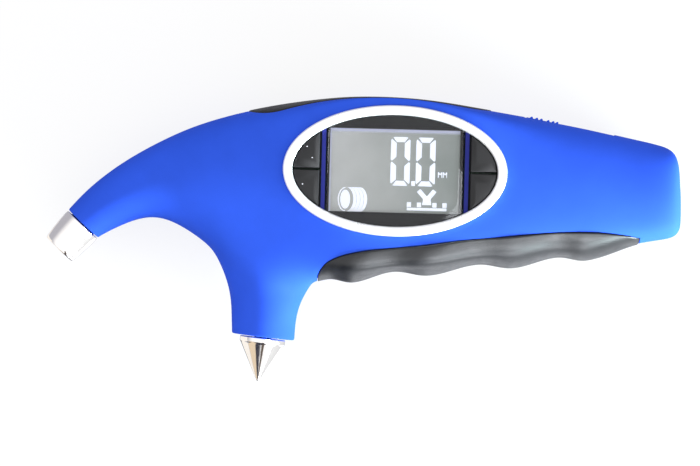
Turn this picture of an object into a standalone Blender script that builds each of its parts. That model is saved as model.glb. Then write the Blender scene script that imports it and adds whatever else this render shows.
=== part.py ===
"""A hand-held digital tyre gauge: pressure nozzle, hammer point, tread-depth probe and LCD.

The gauge lies on its back with the display up. X runs along the display towards the tail,
Y across it, Z up through the body. The origin is on the rest plane, under the display's centre.
Every size below is in millimetres, and MM turns it into Blender's metres.
"""

import math

import bmesh
import bpy
from mathutils import Vector
from mathutils.bvhtree import BVHTree

MM = 0.001

# ---- Housing ----
PART_Z = 15.0  # height of the parting plane
SEAM = 0.3  # gap between the two shells
GAP = 0.3  # clearance between pieces that touch
WALL = 3.0
REST_WALL = 2.2  # wall over the flat land that the gauge lies on
ROWS = 12  # cage points round a body section
LEVEL = 1  # subdivision of the body's cage
FIT_ROUNDS = 3
END_SWELL = 1.047  # subdivision draws a 12-sided ring in by this much
EDGE = 0.8  # rounding of the nose and stem ends
REACH = 130.0  # half the size of a guide that is larger than the gauge

# Body stations from nose to tail: top point, bottom point, depth each way from the parting
# plane, and the squareness of the upper and lower halves, where 2 is an ellipse.
STATIONS = (
    ((-97.5, -14.0), (-88.4, -22.2), 6.1, 2.0, 2.0),
    ((-90.5, -6.6), (-81.5, -18.3), 7.7, 2.0, 2.0),
    ((-80.5, 1.2), (-74.0, -15.8), 10.0, 2.05, 2.05),
    ((-68.0, 8.4), (-66.0, -16.9), 12.0, 2.1, 2.1),
    ((-56.0, 13.5), (-57.0, -22.4), 14.0, 2.3, 2.2),
    ((-40.0, 18.0), (-38.0, -29.0), 15.8, 3.0, 2.4),
    ((-22.0, 21.1), (-21.0, -33.2), 16.8, 5.5, 3.4),
    ((-8.0, 22.2), (-8.0, -31.0), 17.0, 8.0, 4.5),
    ((8.0, 21.75), (8.0, -29.2), 17.0, 8.0, 4.5),
    ((24.0, 19.65), (24.0, -27.4), 16.8, 5.5, 3.8),
    ((40.0, 17.2), (40.0, -25.5), 16.0, 3.4, 3.0),
    ((56.0, 14.6), (56.0, -23.5), 15.0, 2.9, 2.8),
    ((70.0, 11.8), (70.0, -20.5), 14.1, 2.8, 2.8),
    ((79.0, 9.9), (79.0, -18.7), 13.5, 2.8, 2.8),
    ((83.8, 7.4), (84.3, -17.3), 12.0, 2.7, 2.7),
    ((85.1, 2.8), (85.9, -14.5), 8.4, 2.4, 2.4),
)
STEM_FIRST, STEM_LAST = 4, 6  # stations either side of the stem
STEM_ROWS = (4, 8)  # rows of the body, front and back, that the stem grows from
# Stem sections from the body down: left point, right point, depth each way.
STEM = (
    ((-52.5, -27.4), (-24.5, -35.3), 12.0),
    ((-48.7, -36.5), (-27.2, -40.2), 10.4),
    ((-47.8, -44.5), (-28.4, -45.6), 9.9),
)
STEM_END = ((-47.6, -49.7), (-28.8, -51.5), 9.5)

# ---- Display ----
BOSS = (33.0, 19.2)  # semi-axes of the raised oval under the ring
BOSS_TOP = 17.3  # heights here are over the parting plane
OPENING = (31.3, 17.5)
POCKET, POCKET_Z = (32.3, 18.4), (5.1, 14.25)  # room behind the oval for what the display holds
RING_OUTER, RING_INNER = (33.4, 19.5), (30.5, 16.65)
RING_SEAT, RING_TOP = 16.3, 18.3
RIB_INNER, RIB_OUTER = 20.7, 21.9  # the blue ribs either side of the display
BUTTON_X = 22.5
BUTTON_OVAL, FLANGE_OVAL = (30.2, 16.35), (31.8, 18.0)
BUTTON_Z = (12.9, 13.6, 17.1)  # bottom, top of the flange, top
BUTTON_SPLIT = 0.3  # half the gap between the upper and the lower button
SWITCH_PLACE = (26.0, 5.0)
WINDOW_OVAL, WINDOW_X = (30.9, 17.1), 20.3
WINDOW_Z, FRAME_Z = (15.2, 16.2), (14.2, 14.9)
LCD_Z, BACKLIGHT_Z = (12.0, 13.6), (10.0, 11.7)
LCD_GLASS = ((-20.2, -13.4), (20.2, 13.4))
LCD_WINDOW = ((-19.5, -12.4), (19.2, 12.4))
BOARD_Z, BOARD_THICK = 8.0, 1.6

# ---- Grip and top pad ----
GRIP_THICK, PAD_THICK = 1.2, 1.1
PROUD = 0.2  # how far the rubber stands over the housing
WAVE_HEIGHT = 2.0
WAVE_TURNS = (-19.5, -11.4, 0.3, 11.1, 25.5, 36.3, 49.2, 58.5, 76.0)  # troughs and crests
# The line where the grip meets the housing, from the stem to the tail.
GRIP_EDGE = (
    (-22.2, -31.6), (-21.0, -29.4), (-18.8, -27.3), (-14.5, -25.4), (-7.9, -23.9),
    (-1.3, -23.1), (8.2, -22.0), (20.2, -20.2), (29.2, -19.2), (40.0, -17.9),
    (50.0, -17.0), (60.0, -16.7), (68.0, -17.3), (73.6, -18.2),
)
PAD_X, PAD_HALF = (-44.3, 28.7), 11.2

# ---- Nozzle and hammer ----
NOZZLE_MOUTH = Vector((-100.0, -25.9, PART_Z))
NOZZLE_AXIS = Vector((0.67, 0.743, 0.0)).normalized()  # from the mouth into the body
NOZZLE_REACH = 10.5  # from the mouth to the housing
SOCKET_R, SOCKET_DEPTH = 4.2, 8.0
SPIGOT_R, SPIGOT_END, AIR_BORE_R = 4.3, 22.0, 1.4  # the nozzle inside the housing
PIN_R = 1.0
HOSE_R = 2.0
STEM_CENTRE = Vector((-38.2, -50.6, PART_Z))
STEM_AXIS = Vector((0.096, 0.995, 0.0)).normalized()  # from the end up into the stem
SHANK_R, SHANK_LENGTH = 2.5, 17.0
INSERT_R = 5.4

# ---- Tread probe and its slider ----
TRACK_SLOPE = math.radians(10.3)
TRACK_START = Vector((38.5, 17.35, PART_Z))  # on the housing's top line
TRACK_LENGTH = 27.6
KNOB_START, KNOB_LENGTH, KNOB_HALF_WIDTH, KNOB_THICK = 0.5, 10.5, 4.0, 1.4
SLOT_HALF_WIDTH, SLOT_MARGIN = 1.5, 3.3
TONGUE_X, TONGUE_HALF, TONGUE_END = KNOB_START + KNOB_LENGTH / 2, 1.5, -8.4
RIB_PLACES = (1.6, 3.2, 4.6, 6.7, 8.2, 9.4)
RIB_SIZE = (0.75, 0.5)
PROBE_Y, PROBE_Z, PROBE_R, PROBE_END = -2.0, PART_Z + 6.5, 1.2, 84.9
FORK_HALF, FORK_TOP = 4.2, 9.4
SADDLE_HALF = 5.0
WIRE_R = 0.5

# ---- Power ----
CELL_R, CELL_LENGTH = 5.25, 44.5
CELL_NUB_R, CELL_EDGE = 1.9, 0.4
CELL_X, CELL_Z = 28.0, PART_Z - 4.5
CELL_Y = {"upper": 0.6, "lower": -10.2}
PLATE_HALF, PLATE_THICK = 3.5, 0.5  # the contact plates at the cells' ends
COIL_TURNS, COIL_LENGTH, COIL_R, COIL_TAPER, COIL_WIRE = 3, 3.6, 3.6, 1.8, 0.3
DOOR, DOOR_TOP = ((26.0, -15.6), (76.0, 6.1)), PART_Z - 7

# Housing screws, all driven from the back: where each one is.
SCREWS = {
    "nose": (-66.0, -8.1),
    "crown": (-40.0, 9.0),
    "stem": (-38.0, -26.0),
    "track": (34.5, 10.0),
    "tail": (79.5, -11.0),
}
POST_R, PILOT_R, SCREW_R, SCREW_HEAD_R = 2.9, 1.5, 1.15, 2.3
HEAD_FLOOR = 1.7  # wall under a screw's head
SCREW_TOP = PART_Z + 6.5

FINISHES = {  # colour, roughness, metallic
    "blue": ((0.03, 0.12, 0.78), 0.42, 0.0),
    "rubber": ((0.03, 0.03, 0.035), 0.6, 0.0),
    "black": ((0.015, 0.015, 0.018), 0.4, 0.0),
    "silver": ((0.86, 0.87, 0.88), 0.22, 1.0),
    "chrome": ((0.75, 0.73, 0.71), 0.08, 1.0),
    "steel": ((0.6, 0.6, 0.62), 0.3, 1.0),
    "brass": ((0.75, 0.55, 0.25), 0.3, 1.0),
    "clear": ((0.9, 0.92, 0.93), 0.05, 0.0),
    "lcd": ((0.3, 0.32, 0.34), 0.25, 0.0),
    "white": ((0.85, 0.86, 0.86), 0.5, 0.0),
    "board": ((0.03, 0.22, 0.09), 0.45, 0.0),
    "flex": ((0.6, 0.3, 0.06), 0.4, 0.0),
    "cell": ((0.5, 0.36, 0.1), 0.3, 0.6),
    "red": ((0.6, 0.02, 0.02), 0.5, 0.0),
}


def clear_scene():
    for obj in list(bpy.data.objects):
        bpy.data.objects.remove(obj, do_unlink=True)


def new_collection(name):
    made = bpy.data.collections.new(name)
    bpy.context.scene.collection.children.link(made)
    return made


def at_height(point, z):
    return Vector((*point, z))


def finish_of(name, finish):
    """A material of the piece's own."""
    colour, roughness, metallic = FINISHES[finish]
    material = bpy.data.materials.new(name)
    material.use_nodes = True
    shader = material.node_tree.nodes["Principled BSDF"]
    shader.inputs["Base Color"].default_value = (*colour, 1.0)
    shader.inputs["Roughness"].default_value = roughness
    shader.inputs["Metallic"].default_value = metallic
    return material


def add_object(name, data, finish=None):
    """An object for data. A piece has a finish, and a cutter or a guide has none."""
    obj = bpy.data.objects.new(name, data)
    if finish is None:
        CUTTERS.objects.link(obj)
        obj.hide_render = True
        obj.display_type = "WIRE"
    else:
        PIECES.objects.link(obj)
        data.materials.append(finish_of(name, finish))
    return obj


def mesh_object(name, bm, finish=None, origin=None, smooth=True):
    """An object from a bmesh in millimetres, with its own origin where it moves."""
    origin = Vector((0, 0, 0)) if origin is None else origin
    bmesh.ops.translate(bm, vec=-origin, verts=bm.verts)
    bmesh.ops.scale(bm, vec=(MM, MM, MM), verts=bm.verts)
    bmesh.ops.recalc_face_normals(bm, faces=bm.faces)
    mesh = bpy.data.meshes.new(name)
    bm.to_mesh(mesh)
    bm.free()
    if smooth:
        mesh.shade_smooth()
        mesh.set_sharp_from_angle(angle=math.radians(35))
    obj = add_object(name, mesh, finish)
    obj.location = origin * MM
    return obj


def combine(target, tool, operation):
    """Adds a Boolean of the tool to the target."""
    change = target.modifiers.new(operation.lower() + "_" + tool.name, "BOOLEAN")
    change.operation = operation
    change.object = tool
    change.solver = "EXACT"


def cut(target, *tools):
    for tool in tools:
        combine(target, tool, "DIFFERENCE")


def join(target, *tools):
    for tool in tools:
        combine(target, tool, "UNION")


def block(name, low, high, finish=None, rounding=0.0, origin=None):
    """A box between two corners, with rounded edges if asked."""
    bm = bmesh.new()
    bmesh.ops.create_cube(bm, size=1.0)
    size = Vector(high) - Vector(low)
    bmesh.ops.scale(bm, vec=size, verts=bm.verts)
    bmesh.ops.translate(bm, vec=(Vector(low) + Vector(high)) / 2, verts=bm.verts)
    obj = mesh_object(name, bm, finish, origin, smooth=False)
    if rounding:
        soften(obj, rounding)
    return obj


def soften(obj, width):
    bevel = obj.modifiers.new("rounding", "BEVEL")
    bevel.width = width * MM
    bevel.segments = 2
    bevel.limit_method = "ANGLE"


def rod(name, start, end, radius, finish=None, sides=20, origin=None):
    """A straight cylinder from start to end."""
    start, end = Vector(start), Vector(end)
    bm = bmesh.new()
    bmesh.ops.create_cone(
        bm, cap_ends=True, segments=sides, radius1=radius, radius2=radius,
        depth=(end - start).length,
    )
    turn = (end - start).to_track_quat("Z", "Y").to_matrix()
    bmesh.ops.rotate(bm, cent=(0, 0, 0), matrix=turn, verts=bm.verts)
    bmesh.ops.translate(bm, vec=(start + end) / 2, verts=bm.verts)
    return mesh_object(name, bm, finish, origin)


def turned(name, profile, place, axis, finish=None, steps=24, closed=False):
    """A profile of (radius, height) points turned about an axis. It runs down its outer side."""
    mesh = bpy.data.meshes.new(name)
    verts = [(radius * MM, 0.0, height * MM) for radius, height in profile]
    edges = [(i, i + 1) for i in range(len(verts) - 1)]
    if closed:
        edges.append((len(verts) - 1, 0))
    mesh.from_pydata(verts, edges, [])
    obj = add_object(name, mesh, finish)
    obj.location = Vector(place) * MM
    obj.rotation_mode = "QUATERNION"
    obj.rotation_quaternion = Vector(axis).to_track_quat("Z", "Y")
    screw = obj.modifiers.new("turn", "SCREW")
    screw.axis = "Z"
    screw.steps = steps
    screw.render_steps = steps
    screw.use_merge_vertices = True
    screw.merge_threshold = 0.00001
    screw.use_smooth_shade = True
    return obj


def prism(name, outline, low, high, finish=None, origin=None):
    """A flat outline given thickness between two heights, as a welded mesh."""
    origin = Vector((0, 0, 0)) if origin is None else origin
    flat = bpy.data.curves.new(name + "_outline", "CURVE")
    flat.dimensions = "2D"
    flat.fill_mode = "BOTH"
    flat.extrude = (high - low) / 2 * MM
    spline = flat.splines.new("POLY")
    spline.points.add(len(outline) - 1)
    for point, (x, y) in zip(spline.points, outline):
        point.co = ((x - origin.x) * MM, (y - origin.y) * MM, 0.0, 1.0)
    spline.use_cyclic_u = True
    guide = bpy.data.objects.new(name + "_outline", flat)
    bpy.context.scene.collection.objects.link(guide)
    bpy.context.view_layer.update()
    graph = bpy.context.evaluated_depsgraph_get()
    mesh = bpy.data.meshes.new_from_object(guide.evaluated_get(graph))
    bpy.data.objects.remove(guide)
    bm = bmesh.new()
    bm.from_mesh(mesh)
    bmesh.ops.remove_doubles(bm, verts=bm.verts, dist=0.001 * MM)
    bmesh.ops.recalc_face_normals(bm, faces=bm.faces)
    bm.to_mesh(mesh)
    bm.free()
    mesh.name = name
    mesh.materials.clear()
    mesh.shade_smooth()
    mesh.set_sharp_from_angle(angle=math.radians(35))
    obj = add_object(name, mesh, finish)
    obj.location = Vector((origin.x, origin.y, (low + high) / 2)) * MM
    return obj


def smooth_path(points, steps):
    """Points along a Catmull-Rom curve through the given ones."""
    points = [Vector(point) for point in points]
    ends = [2 * points[0] - points[1]] + points + [2 * points[-1] - points[-2]]
    path = []
    for i in range(1, len(ends) - 2):
        before, start, end, after = ends[i - 1 : i + 3]
        for k in range(steps):
            t = k / steps
            path.append(
                0.5
                * (
                    2 * start
                    + (end - before) * t
                    + (2 * before - 5 * start + 4 * end - after) * t**2
                    + (3 * start - before - 3 * end + after) * t**3
                )
            )
    path.append(points[-1])
    return path


def tube(name, points, radius, finish, steps=3):
    """A round wire or hose through the points."""
    curve = bpy.data.curves.new(name, "CURVE")
    curve.dimensions = "3D"
    curve.bevel_depth = radius * MM
    curve.bevel_resolution = 2
    curve.use_fill_caps = True
    path = smooth_path(points, steps)
    spline = curve.splines.new("POLY")
    spline.points.add(len(path) - 1)
    for point, place in zip(spline.points, path):
        point.co = (*(place * MM), 1.0)
    return add_object(name, curve, finish)


# ---- The housing's form ----


def squashed(value, power):
    value = round(value, 9)
    return math.copysign(abs(value) ** power, value)


def body_section(station, inset):
    """The points round a station, from the top over the front to the back."""
    top, bottom, depth, upper, lower = station
    top, bottom = Vector(top), Vector(bottom)
    middle = (top + bottom) / 2
    half = (top - bottom) / 2
    half = half * (1 - inset / half.length)
    points = []
    for row in range(ROWS):
        angle = math.pi / 2 - math.tau * row / ROWS
        power = 2 / (upper if math.sin(angle) > 0 else lower)
        place = middle + half * squashed(math.sin(angle), power)
        height = (depth - inset) * squashed(math.cos(angle), power)
        points.append(Vector((*place, PART_Z + height)))
    return points


def stem_section(section, inset):
    """The points round a stem section, from its left side over the front."""
    left, right, depth = section
    left, right = Vector(left), Vector(right)
    middle = (left + right) / 2
    half = (right - left) / 2
    half = half * (1 - inset / half.length)
    points = []
    for row in range(ROWS):
        angle = math.pi - math.tau * row / ROWS
        place = middle + half * math.cos(angle)
        points.append(Vector((*place, PART_Z + (depth - inset) * math.sin(angle))))
    return points


def swollen(points, factor, shift):
    """A ring of points grown about its middle and moved."""
    middle = sum(points, Vector()) / len(points)
    return [middle + (point - middle) * factor + shift for point in points]


def rounded_end(points, outward):
    """The rings that close a round end square, with a small rounded edge."""
    return (
        swollen(points, END_SWELL, -outward * EDGE),
        swollen(points, END_SWELL, Vector()),
        swollen(points, END_SWELL * 0.86, Vector()),
    )


def quads_between(bm, first, second, skip=()):
    for i in range(ROWS):
        if i not in skip:
            j = (i + 1) % ROWS
            bm.faces.new((first[i], first[j], second[j], second[i]))


def quad_cap(bm, ring, swell=Vector()):
    """Closes a ring of twelve points with a three by three patch."""
    middle = sum((vert.co for vert in ring), Vector()) / ROWS
    inner = [
        bm.verts.new(middle + (ring[k].co - middle) * 0.36 + swell) for k in (0, 3, 6, 9)
    ]
    for quarter in range(4):
        corner = 3 * quarter
        bm.faces.new(
            (ring[corner - 1], ring[corner], ring[corner + 1], inner[quarter])
        )
        following = inner[(quarter + 1) % 4]
        bm.faces.new(
            (inner[quarter], ring[corner + 1], ring[(corner + 2) % ROWS], following)
        )
    bm.faces.new(inner)
    return inner


def limit_point(vert):
    """Where Catmull-Clark subdivision takes a vertex of a quad cage in the end."""
    count = len(vert.link_edges)
    near = sum((edge.other_vert(vert).co for edge in vert.link_edges), Vector())
    far = sum(
        (loop.link_loop_next.link_loop_next.vert.co for loop in vert.link_loops),
        Vector(),
    )
    return (count**2 * vert.co + 4 * near + far) / (count**2 + 5 * count)


def body_cage(inset):
    """The whole outer form drawn in by inset, as a cage that subdivides onto its sections."""
    bm = bmesh.new()
    design = {}

    def ring_of(points, fitted=True):
        verts = [bm.verts.new(point) if point else None for point in points]
        if fitted:
            design.update({vert: vert.co.copy() for vert in verts if vert})
        return verts

    outward = -NOZZLE_AXIS
    nose = swollen(body_section(STATIONS[0], inset), 1.0, -outward * inset)
    rings = [ring_of(points, False) for points in reversed(rounded_end(nose, outward))]
    quad_cap(bm, rings[0])
    first_station = len(rings) - 1
    low_row, high_row = STEM_ROWS
    for index, station in enumerate(STATIONS[1:], 1):
        points = body_section(station, inset)
        if index >= len(STATIONS) - 2:
            points = [point - Vector((inset, 0, 0)) for point in points]
        if STEM_FIRST < index < STEM_LAST:
            points[low_row + 1 : high_row] = [None] * (high_row - low_row - 1)
        rings.append(ring_of(points))
    for index in range(len(rings) - 1):
        at_stem = STEM_FIRST <= index - first_station < STEM_LAST
        skip = range(low_row, high_row) if at_stem else ()
        quads_between(bm, rings[index], rings[index + 1], skip)
    design.update(
        {vert: vert.co.copy() for vert in quad_cap(bm, rings[-1], Vector((0.3, 0, 0)))}
    )

    left, middle, right = rings[first_station + STEM_FIRST : first_station + STEM_LAST + 1]
    last = [
        left[6], left[5], left[4], middle[4], right[4], right[5],
        right[6], right[7], right[8], middle[8], left[8], left[7],
    ]
    for section in STEM:
        ring = ring_of(stem_section(section, inset))
        quads_between(bm, last, ring)
        last = ring
    end = swollen(stem_section(STEM_END, inset), 1.0, STEM_AXIS * inset)
    for points in rounded_end(end, -STEM_AXIS):
        ring = ring_of(points, False)
        quads_between(bm, last, ring)
        last = ring
    quad_cap(bm, last)

    bmesh.ops.recalc_face_normals(bm, faces=bm.faces)
    for _ in range(FIT_ROUNDS):
        moves = {vert: place - limit_point(vert) for vert, place in design.items()}
        for vert, move in moves.items():
            vert.co += move
    return bm


def body_form(name, inset, finish=None):
    obj = mesh_object(name, body_cage(inset), finish)
    subdivide = obj.modifiers.new("form", "SUBSURF")
    subdivide.levels = LEVEL
    subdivide.render_levels = LEVEL
    return obj


def surface_of(form):
    """The form's evaluated surface in millimetres, for casting rays at."""
    bpy.context.view_layer.update()
    graph = bpy.context.evaluated_depsgraph_get()
    evaluated = form.evaluated_get(graph)
    bm = bmesh.new()
    bm.from_mesh(evaluated.data)
    bmesh.ops.scale(bm, vec=(1 / MM,) * 3, verts=bm.verts)
    tree = BVHTree.FromBMesh(bm)
    bm.free()
    return tree


def skin(name, rays, inner, outer, finish=None):
    """A closed layer on the housing between two heights over it. Each ray is a starting point,
    a direction, and how much the layer swells there."""
    bm = bmesh.new()
    layers = ([], [])
    for row in rays:
        lines = ([], [])
        for start, direction, swell in row:
            hit = SURFACE.ray_cast(start, direction)[0]
            lines[0].append(bm.verts.new(hit + direction * inner))
            lines[1].append(bm.verts.new(hit + direction * (outer + swell)))
        layers[0].append(lines[0])
        layers[1].append(lines[1])
    below, above = layers
    last_row, last_column = len(rays) - 1, len(rays[0]) - 1
    for i in range(last_row):
        for j in range(last_column):
            for layer in layers:
                bm.faces.new(
                    (layer[i][j], layer[i + 1][j], layer[i + 1][j + 1], layer[i][j + 1])
                )
        for j in (0, last_column):
            bm.faces.new((below[i][j], above[i][j], above[i + 1][j], below[i + 1][j]))
    for j in range(last_column):
        for i in (0, last_row):
            bm.faces.new((below[i][j], above[i][j], above[i][j + 1], below[i][j + 1]))
    return mesh_object(name, bm, finish)


def wave(x):
    """How far the finger waves, which lean towards the stem, stand over the grip's base line."""
    for index, (start, end) in enumerate(zip(WAVE_TURNS, WAVE_TURNS[1:])):
        if x < end:
            rise = (1 - math.cos(math.pi * max(0.0, (x - start) / (end - start)))) / 2
            return WAVE_HEIGHT * (rise if index % 2 == 0 else 1 - rise)
    return 0.0


def grip_rays(margin, columns=8, steps=2):
    """Rays fanned from the grip's edge line, round the underside from front to back."""
    path = smooth_path([(*point, 0.0) for point in GRIP_EDGE], steps)
    if margin:
        path[0] -= (path[1] - path[0]).normalized() * margin
        path[-1] += (path[-1] - path[-2]).normalized() * margin
    rays = []
    for i, place in enumerate(path):
        along = (path[min(i + 1, len(path) - 1)] - path[max(i - 1, 0)]).normalized()
        place = place + Vector((-along.y, along.x, 0)) * margin
        start = Vector((place.x, place.y, PART_Z))
        row = []
        for column in range(columns + 1):
            angle = math.pi * column / columns
            direction = Vector((0, -math.sin(angle), math.cos(angle)))
            swell = wave(place.x) * max(0.0, math.sin(angle)) ** 0.5
            row.append((start, direction, swell))
        rays.append(row)
    return rays


def pad_rays(margin, columns=6, steps=6):
    """Rays up through the top ridge, inside the pad's round-ended outline."""
    low, high = PAD_X[0] - margin, PAD_X[1] + margin
    reach = PAD_HALF + margin
    ends = [reach * (1 - math.cos(math.pi / 2 * k / steps)) for k in range(1, steps + 1)]
    straight = [low + reach + (high - low - 2 * reach) * k / 14 for k in range(1, 14)]
    places = [low + end for end in ends] + straight + [high - end for end in reversed(ends)]
    rays = []
    for x in places:
        from_end = min(x - low, high - x, reach)
        half = math.sqrt(reach**2 - (reach - from_end) ** 2)
        rays.append(
            [
                (Vector((x, 6.0, PART_Z + half * (2 * j / columns - 1))), Vector((0, 1, 0)), 0)
                for j in range(columns + 1)
            ]
        )
    return rays


# ---- Outlines in the display's oval ----


def arc(axes, start, end, steps):
    """Points on an ellipse between two angles in degrees."""
    return [
        (
            axes[0] * math.cos(math.radians(start + (end - start) * k / steps)),
            axes[1] * math.sin(math.radians(start + (end - start) * k / steps)),
        )
        for k in range(steps + 1)
    ]


def grown(axes, amount):
    return axes[0] + amount, axes[1] + amount


def angle_at(axes, x):
    return math.degrees(math.acos(x / axes[0]))


def oval(axes, steps=40):
    return arc(axes, 0, 360, steps)[:-1]


def middle_bay(axes, x, steps=12):
    """The part of an oval between -x and x."""
    edge = angle_at(axes, x)
    return arc(axes, edge, 180 - edge, steps) + arc(axes, 180 + edge, 360 - edge, steps)


def side_bay(axes, x, side, steps=16):
    """The part of an oval beyond x, on one side."""
    edge = angle_at(axes, x)
    turn = 0 if side > 0 else 180
    return arc(axes, turn - edge, turn + edge, steps)


def quarter_bay(axes, x, y, side, upper, steps=10):
    """The part of an oval beyond x and beyond y, in one quarter, as a button has."""
    first = math.degrees(math.asin(y / axes[1]))
    points = arc(axes, first, angle_at(axes, x), steps)
    points = points + [(x, y)]
    return [(side * px, upper * py) for px, py in points]


# ---- Pieces ----


def housing_halves():
    """The guides that keep the front and the back of a piece, either side of the seam."""
    front = block("front_half", (-REACH, -REACH, PART_Z + SEAM / 2), (REACH, REACH, 60.0))
    back = block("back_half", (-REACH, -REACH, 0.0), (REACH, REACH, PART_Z - SEAM / 2))
    return front, back


def screw_seat(x, y):
    """Height of the floor that a screw's head sits on."""
    hit = SURFACE.ray_cast(Vector((x, y, PART_Z)), Vector((0, 0, -1)))[0]
    return max(hit.z, 0.0) + HEAD_FLOOR


def housing_tools():
    """The posts and holes for the screws, one body for each half and kind."""
    tools = {"front_post": [], "back_post": [], "pilot": [], "head": []}
    for name, (x, y) in SCREWS.items():
        seat = screw_seat(x, y)
        roof = SURFACE.ray_cast(Vector((x, y, PART_Z)), Vector((0, 0, 1)))[0].z
        tools["front_post"].append(
            rod("front_post_" + name, (x, y, PART_Z), (x, y, roof - 1.7), POST_R, sides=16)
        )
        tools["back_post"].append(
            rod("back_post_" + name, (x, y, seat + 0.2), (x, y, PART_Z), POST_R, sides=16)
        )
        tools["pilot"].append(
            rod("pilot_" + name, (x, y, seat - 5), (x, y, SCREW_TOP + 1), PILOT_R, sides=12)
        )
        tools["head"].append(
            rod("head_" + name, (x, y, -20), (x, y, seat), SCREW_HEAD_R + GAP, sides=16)
        )
    return tools


def on_track(obj):
    """Places an object drawn along X, with Y out of the housing, on the slider's track."""
    obj.location = TRACK_START * MM
    obj.rotation_euler = (0, 0, -TRACK_SLOPE)
    return obj


def make_housing():
    front_half, back_half = housing_halves()
    cavity = body_form("cavity", WALL)
    floor = block("cavity_floor", (-REACH, -REACH, REST_WALL), (REACH, REACH, 60))
    combine(cavity, floor, "INTERSECT")
    tools = housing_tools()
    grip_recess = skin("grip_recess", grip_rays(GAP), -GRIP_THICK - GAP, 4.0)
    pad_recess = skin("pad_recess", pad_rays(GAP), -PAD_THICK - GAP, 4.0)
    nose_hole = rod(
        "nose_hole", NOZZLE_MOUTH, NOZZLE_MOUTH + NOZZLE_AXIS * 24, SPIGOT_R + GAP
    )
    stem_hole = rod(
        "stem_hole", STEM_CENTRE - STEM_AXIS * 5, STEM_CENTRE + STEM_AXIS * 8, SHANK_R + 0.5
    )
    half_width = KNOB_HALF_WIDTH + GAP
    channel = block(
        "track_channel", (0, -KNOB_THICK - GAP, -half_width), (TRACK_LENGTH, 5, half_width)
    )
    slot_end = TRACK_LENGTH - SLOT_MARGIN
    slot = block(
        "track_slot", (SLOT_MARGIN, -6, -SLOT_HALF_WIDTH), (slot_end, 1, SLOT_HALF_WIDTH)
    )
    shared = (
        grip_recess, pad_recess, nose_hole, stem_hole, on_track(channel), on_track(slot)
    )

    front = body_form("front_shell", 0.0, "blue")
    boss = prism("display_boss", oval(BOSS, 48), PART_Z + 8, PART_Z + BOSS_TOP)
    join(front, boss)
    cut(front, cavity)
    join(front, *tools["front_post"])
    bay_low, bay_high = PART_Z + 12.5, PART_Z + 20
    cut(
        front,
        *tools["pilot"],
        *shared,
        prism("display_pocket", oval(POCKET, 48), *(PART_Z + z for z in POCKET_Z)),
        prism("ring_seat", oval(grown(RING_OUTER, GAP), 48), PART_Z + RING_SEAT, bay_high),
        prism("window_bay", middle_bay(OPENING, RIB_INNER), bay_low, bay_high),
        prism("left_bay", side_bay(OPENING, RIB_OUTER, -1), bay_low, bay_high),
        prism("right_bay", side_bay(OPENING, RIB_OUTER, 1), bay_low, bay_high),
        probe_rod("probe_hole", 80, 95, PROBE_R + 0.5),
    )
    combine(front, front_half, "INTERSECT")

    back = body_form("rear_shell", 0.0, "blue")
    cut(back, cavity)
    join(back, *tools["back_post"])
    (x0, y0), (x1, y1) = DOOR
    door_hole = block("door_hole", (x0 - GAP, y0 - GAP, -5), (x1 + GAP, y1 + GAP, DOOR_TOP))
    cut(back, *tools["pilot"], *tools["head"], *shared, door_hole)
    combine(back, back_half, "INTERSECT")

    door = body_form("battery_door", 0.0, "blue")
    cut(door, cavity)
    combine(door, block("door_outline", (x0, y0, 0), (x1, y1, DOOR_TOP)), "INTERSECT")


def make_grip_and_pad():
    grip = skin("finger_grip", grip_rays(0.0), -GRIP_THICK, PROUD, "rubber")
    combine(grip, block("grip_floor", (-REACH, -REACH, 0), (REACH, REACH, 60)), "INTERSECT")
    skin("top_pad", pad_rays(0.0), -PAD_THICK, PROUD, "rubber")


def make_display():
    z = PART_Z
    ring = prism("bezel_ring", oval(RING_OUTER, 48), z + RING_SEAT + GAP, z + RING_TOP, "silver")
    cut(ring, prism("ring_hole", oval(RING_INNER, 48), z + 10, z + 25))
    outline = middle_bay(WINDOW_OVAL, WINDOW_X)
    prism("display_window", outline, *(z + height for height in WINDOW_Z), "clear")
    frame = prism("display_frame", outline, *(z + height for height in FRAME_Z), "black")
    low, high = LCD_WINDOW
    cut(frame, block("frame_hole", at_height(low, z + 10), at_height(high, z + 20)))
    low, high = LCD_GLASS
    block("lcd_panel", at_height(low, z + LCD_Z[0]), at_height(high, z + LCD_Z[1]), "lcd")
    block(
        "lcd_backlight", (-19.8, -11.5, z + BACKLIGHT_Z[0]), (19.8, 12.5, z + BACKLIGHT_Z[1]),
        "white",
    )
    board_top = z + BOARD_Z + BOARD_THICK
    block(
        "lcd_contact_strip", (-18, -14.0, board_top + GAP), (18, -11.9, z + BACKLIGHT_Z[1]),
        "rubber",
    )
    board = block("main_circuit_board", (-31, -15, z + BOARD_Z), (31, 14, board_top), "board")
    x, y = SCREWS["stem"]
    cut(board, rod("corner_notch", (x, y, z), (x, y, z + 20), 13.5))


def make_buttons():
    z = PART_Z
    for side, side_name in ((-1, "left"), (1, "right")):
        for upper, level_name in ((1, "upper"), (-1, "lower")):
            name = f"{level_name}_{side_name}"
            x, y = SWITCH_PLACE
            origin = Vector((side * x, upper * y, z + BUTTON_Z[0]))
            cap = quarter_bay(BUTTON_OVAL, BUTTON_X, BUTTON_SPLIT, side, upper)
            foot = quarter_bay(FLANGE_OVAL, BUTTON_X - 0.3, BUTTON_SPLIT, side, upper)
            button = prism(
                "button_" + name, cap, z + BUTTON_Z[0] + 0.2, z + BUTTON_Z[2], "black", origin
            )
            flange = prism("flange_" + name, foot, z + BUTTON_Z[0], z + BUTTON_Z[1])
            join(button, flange)
            make_switch("tact_switch_" + name, origin.x, origin.y)


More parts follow.
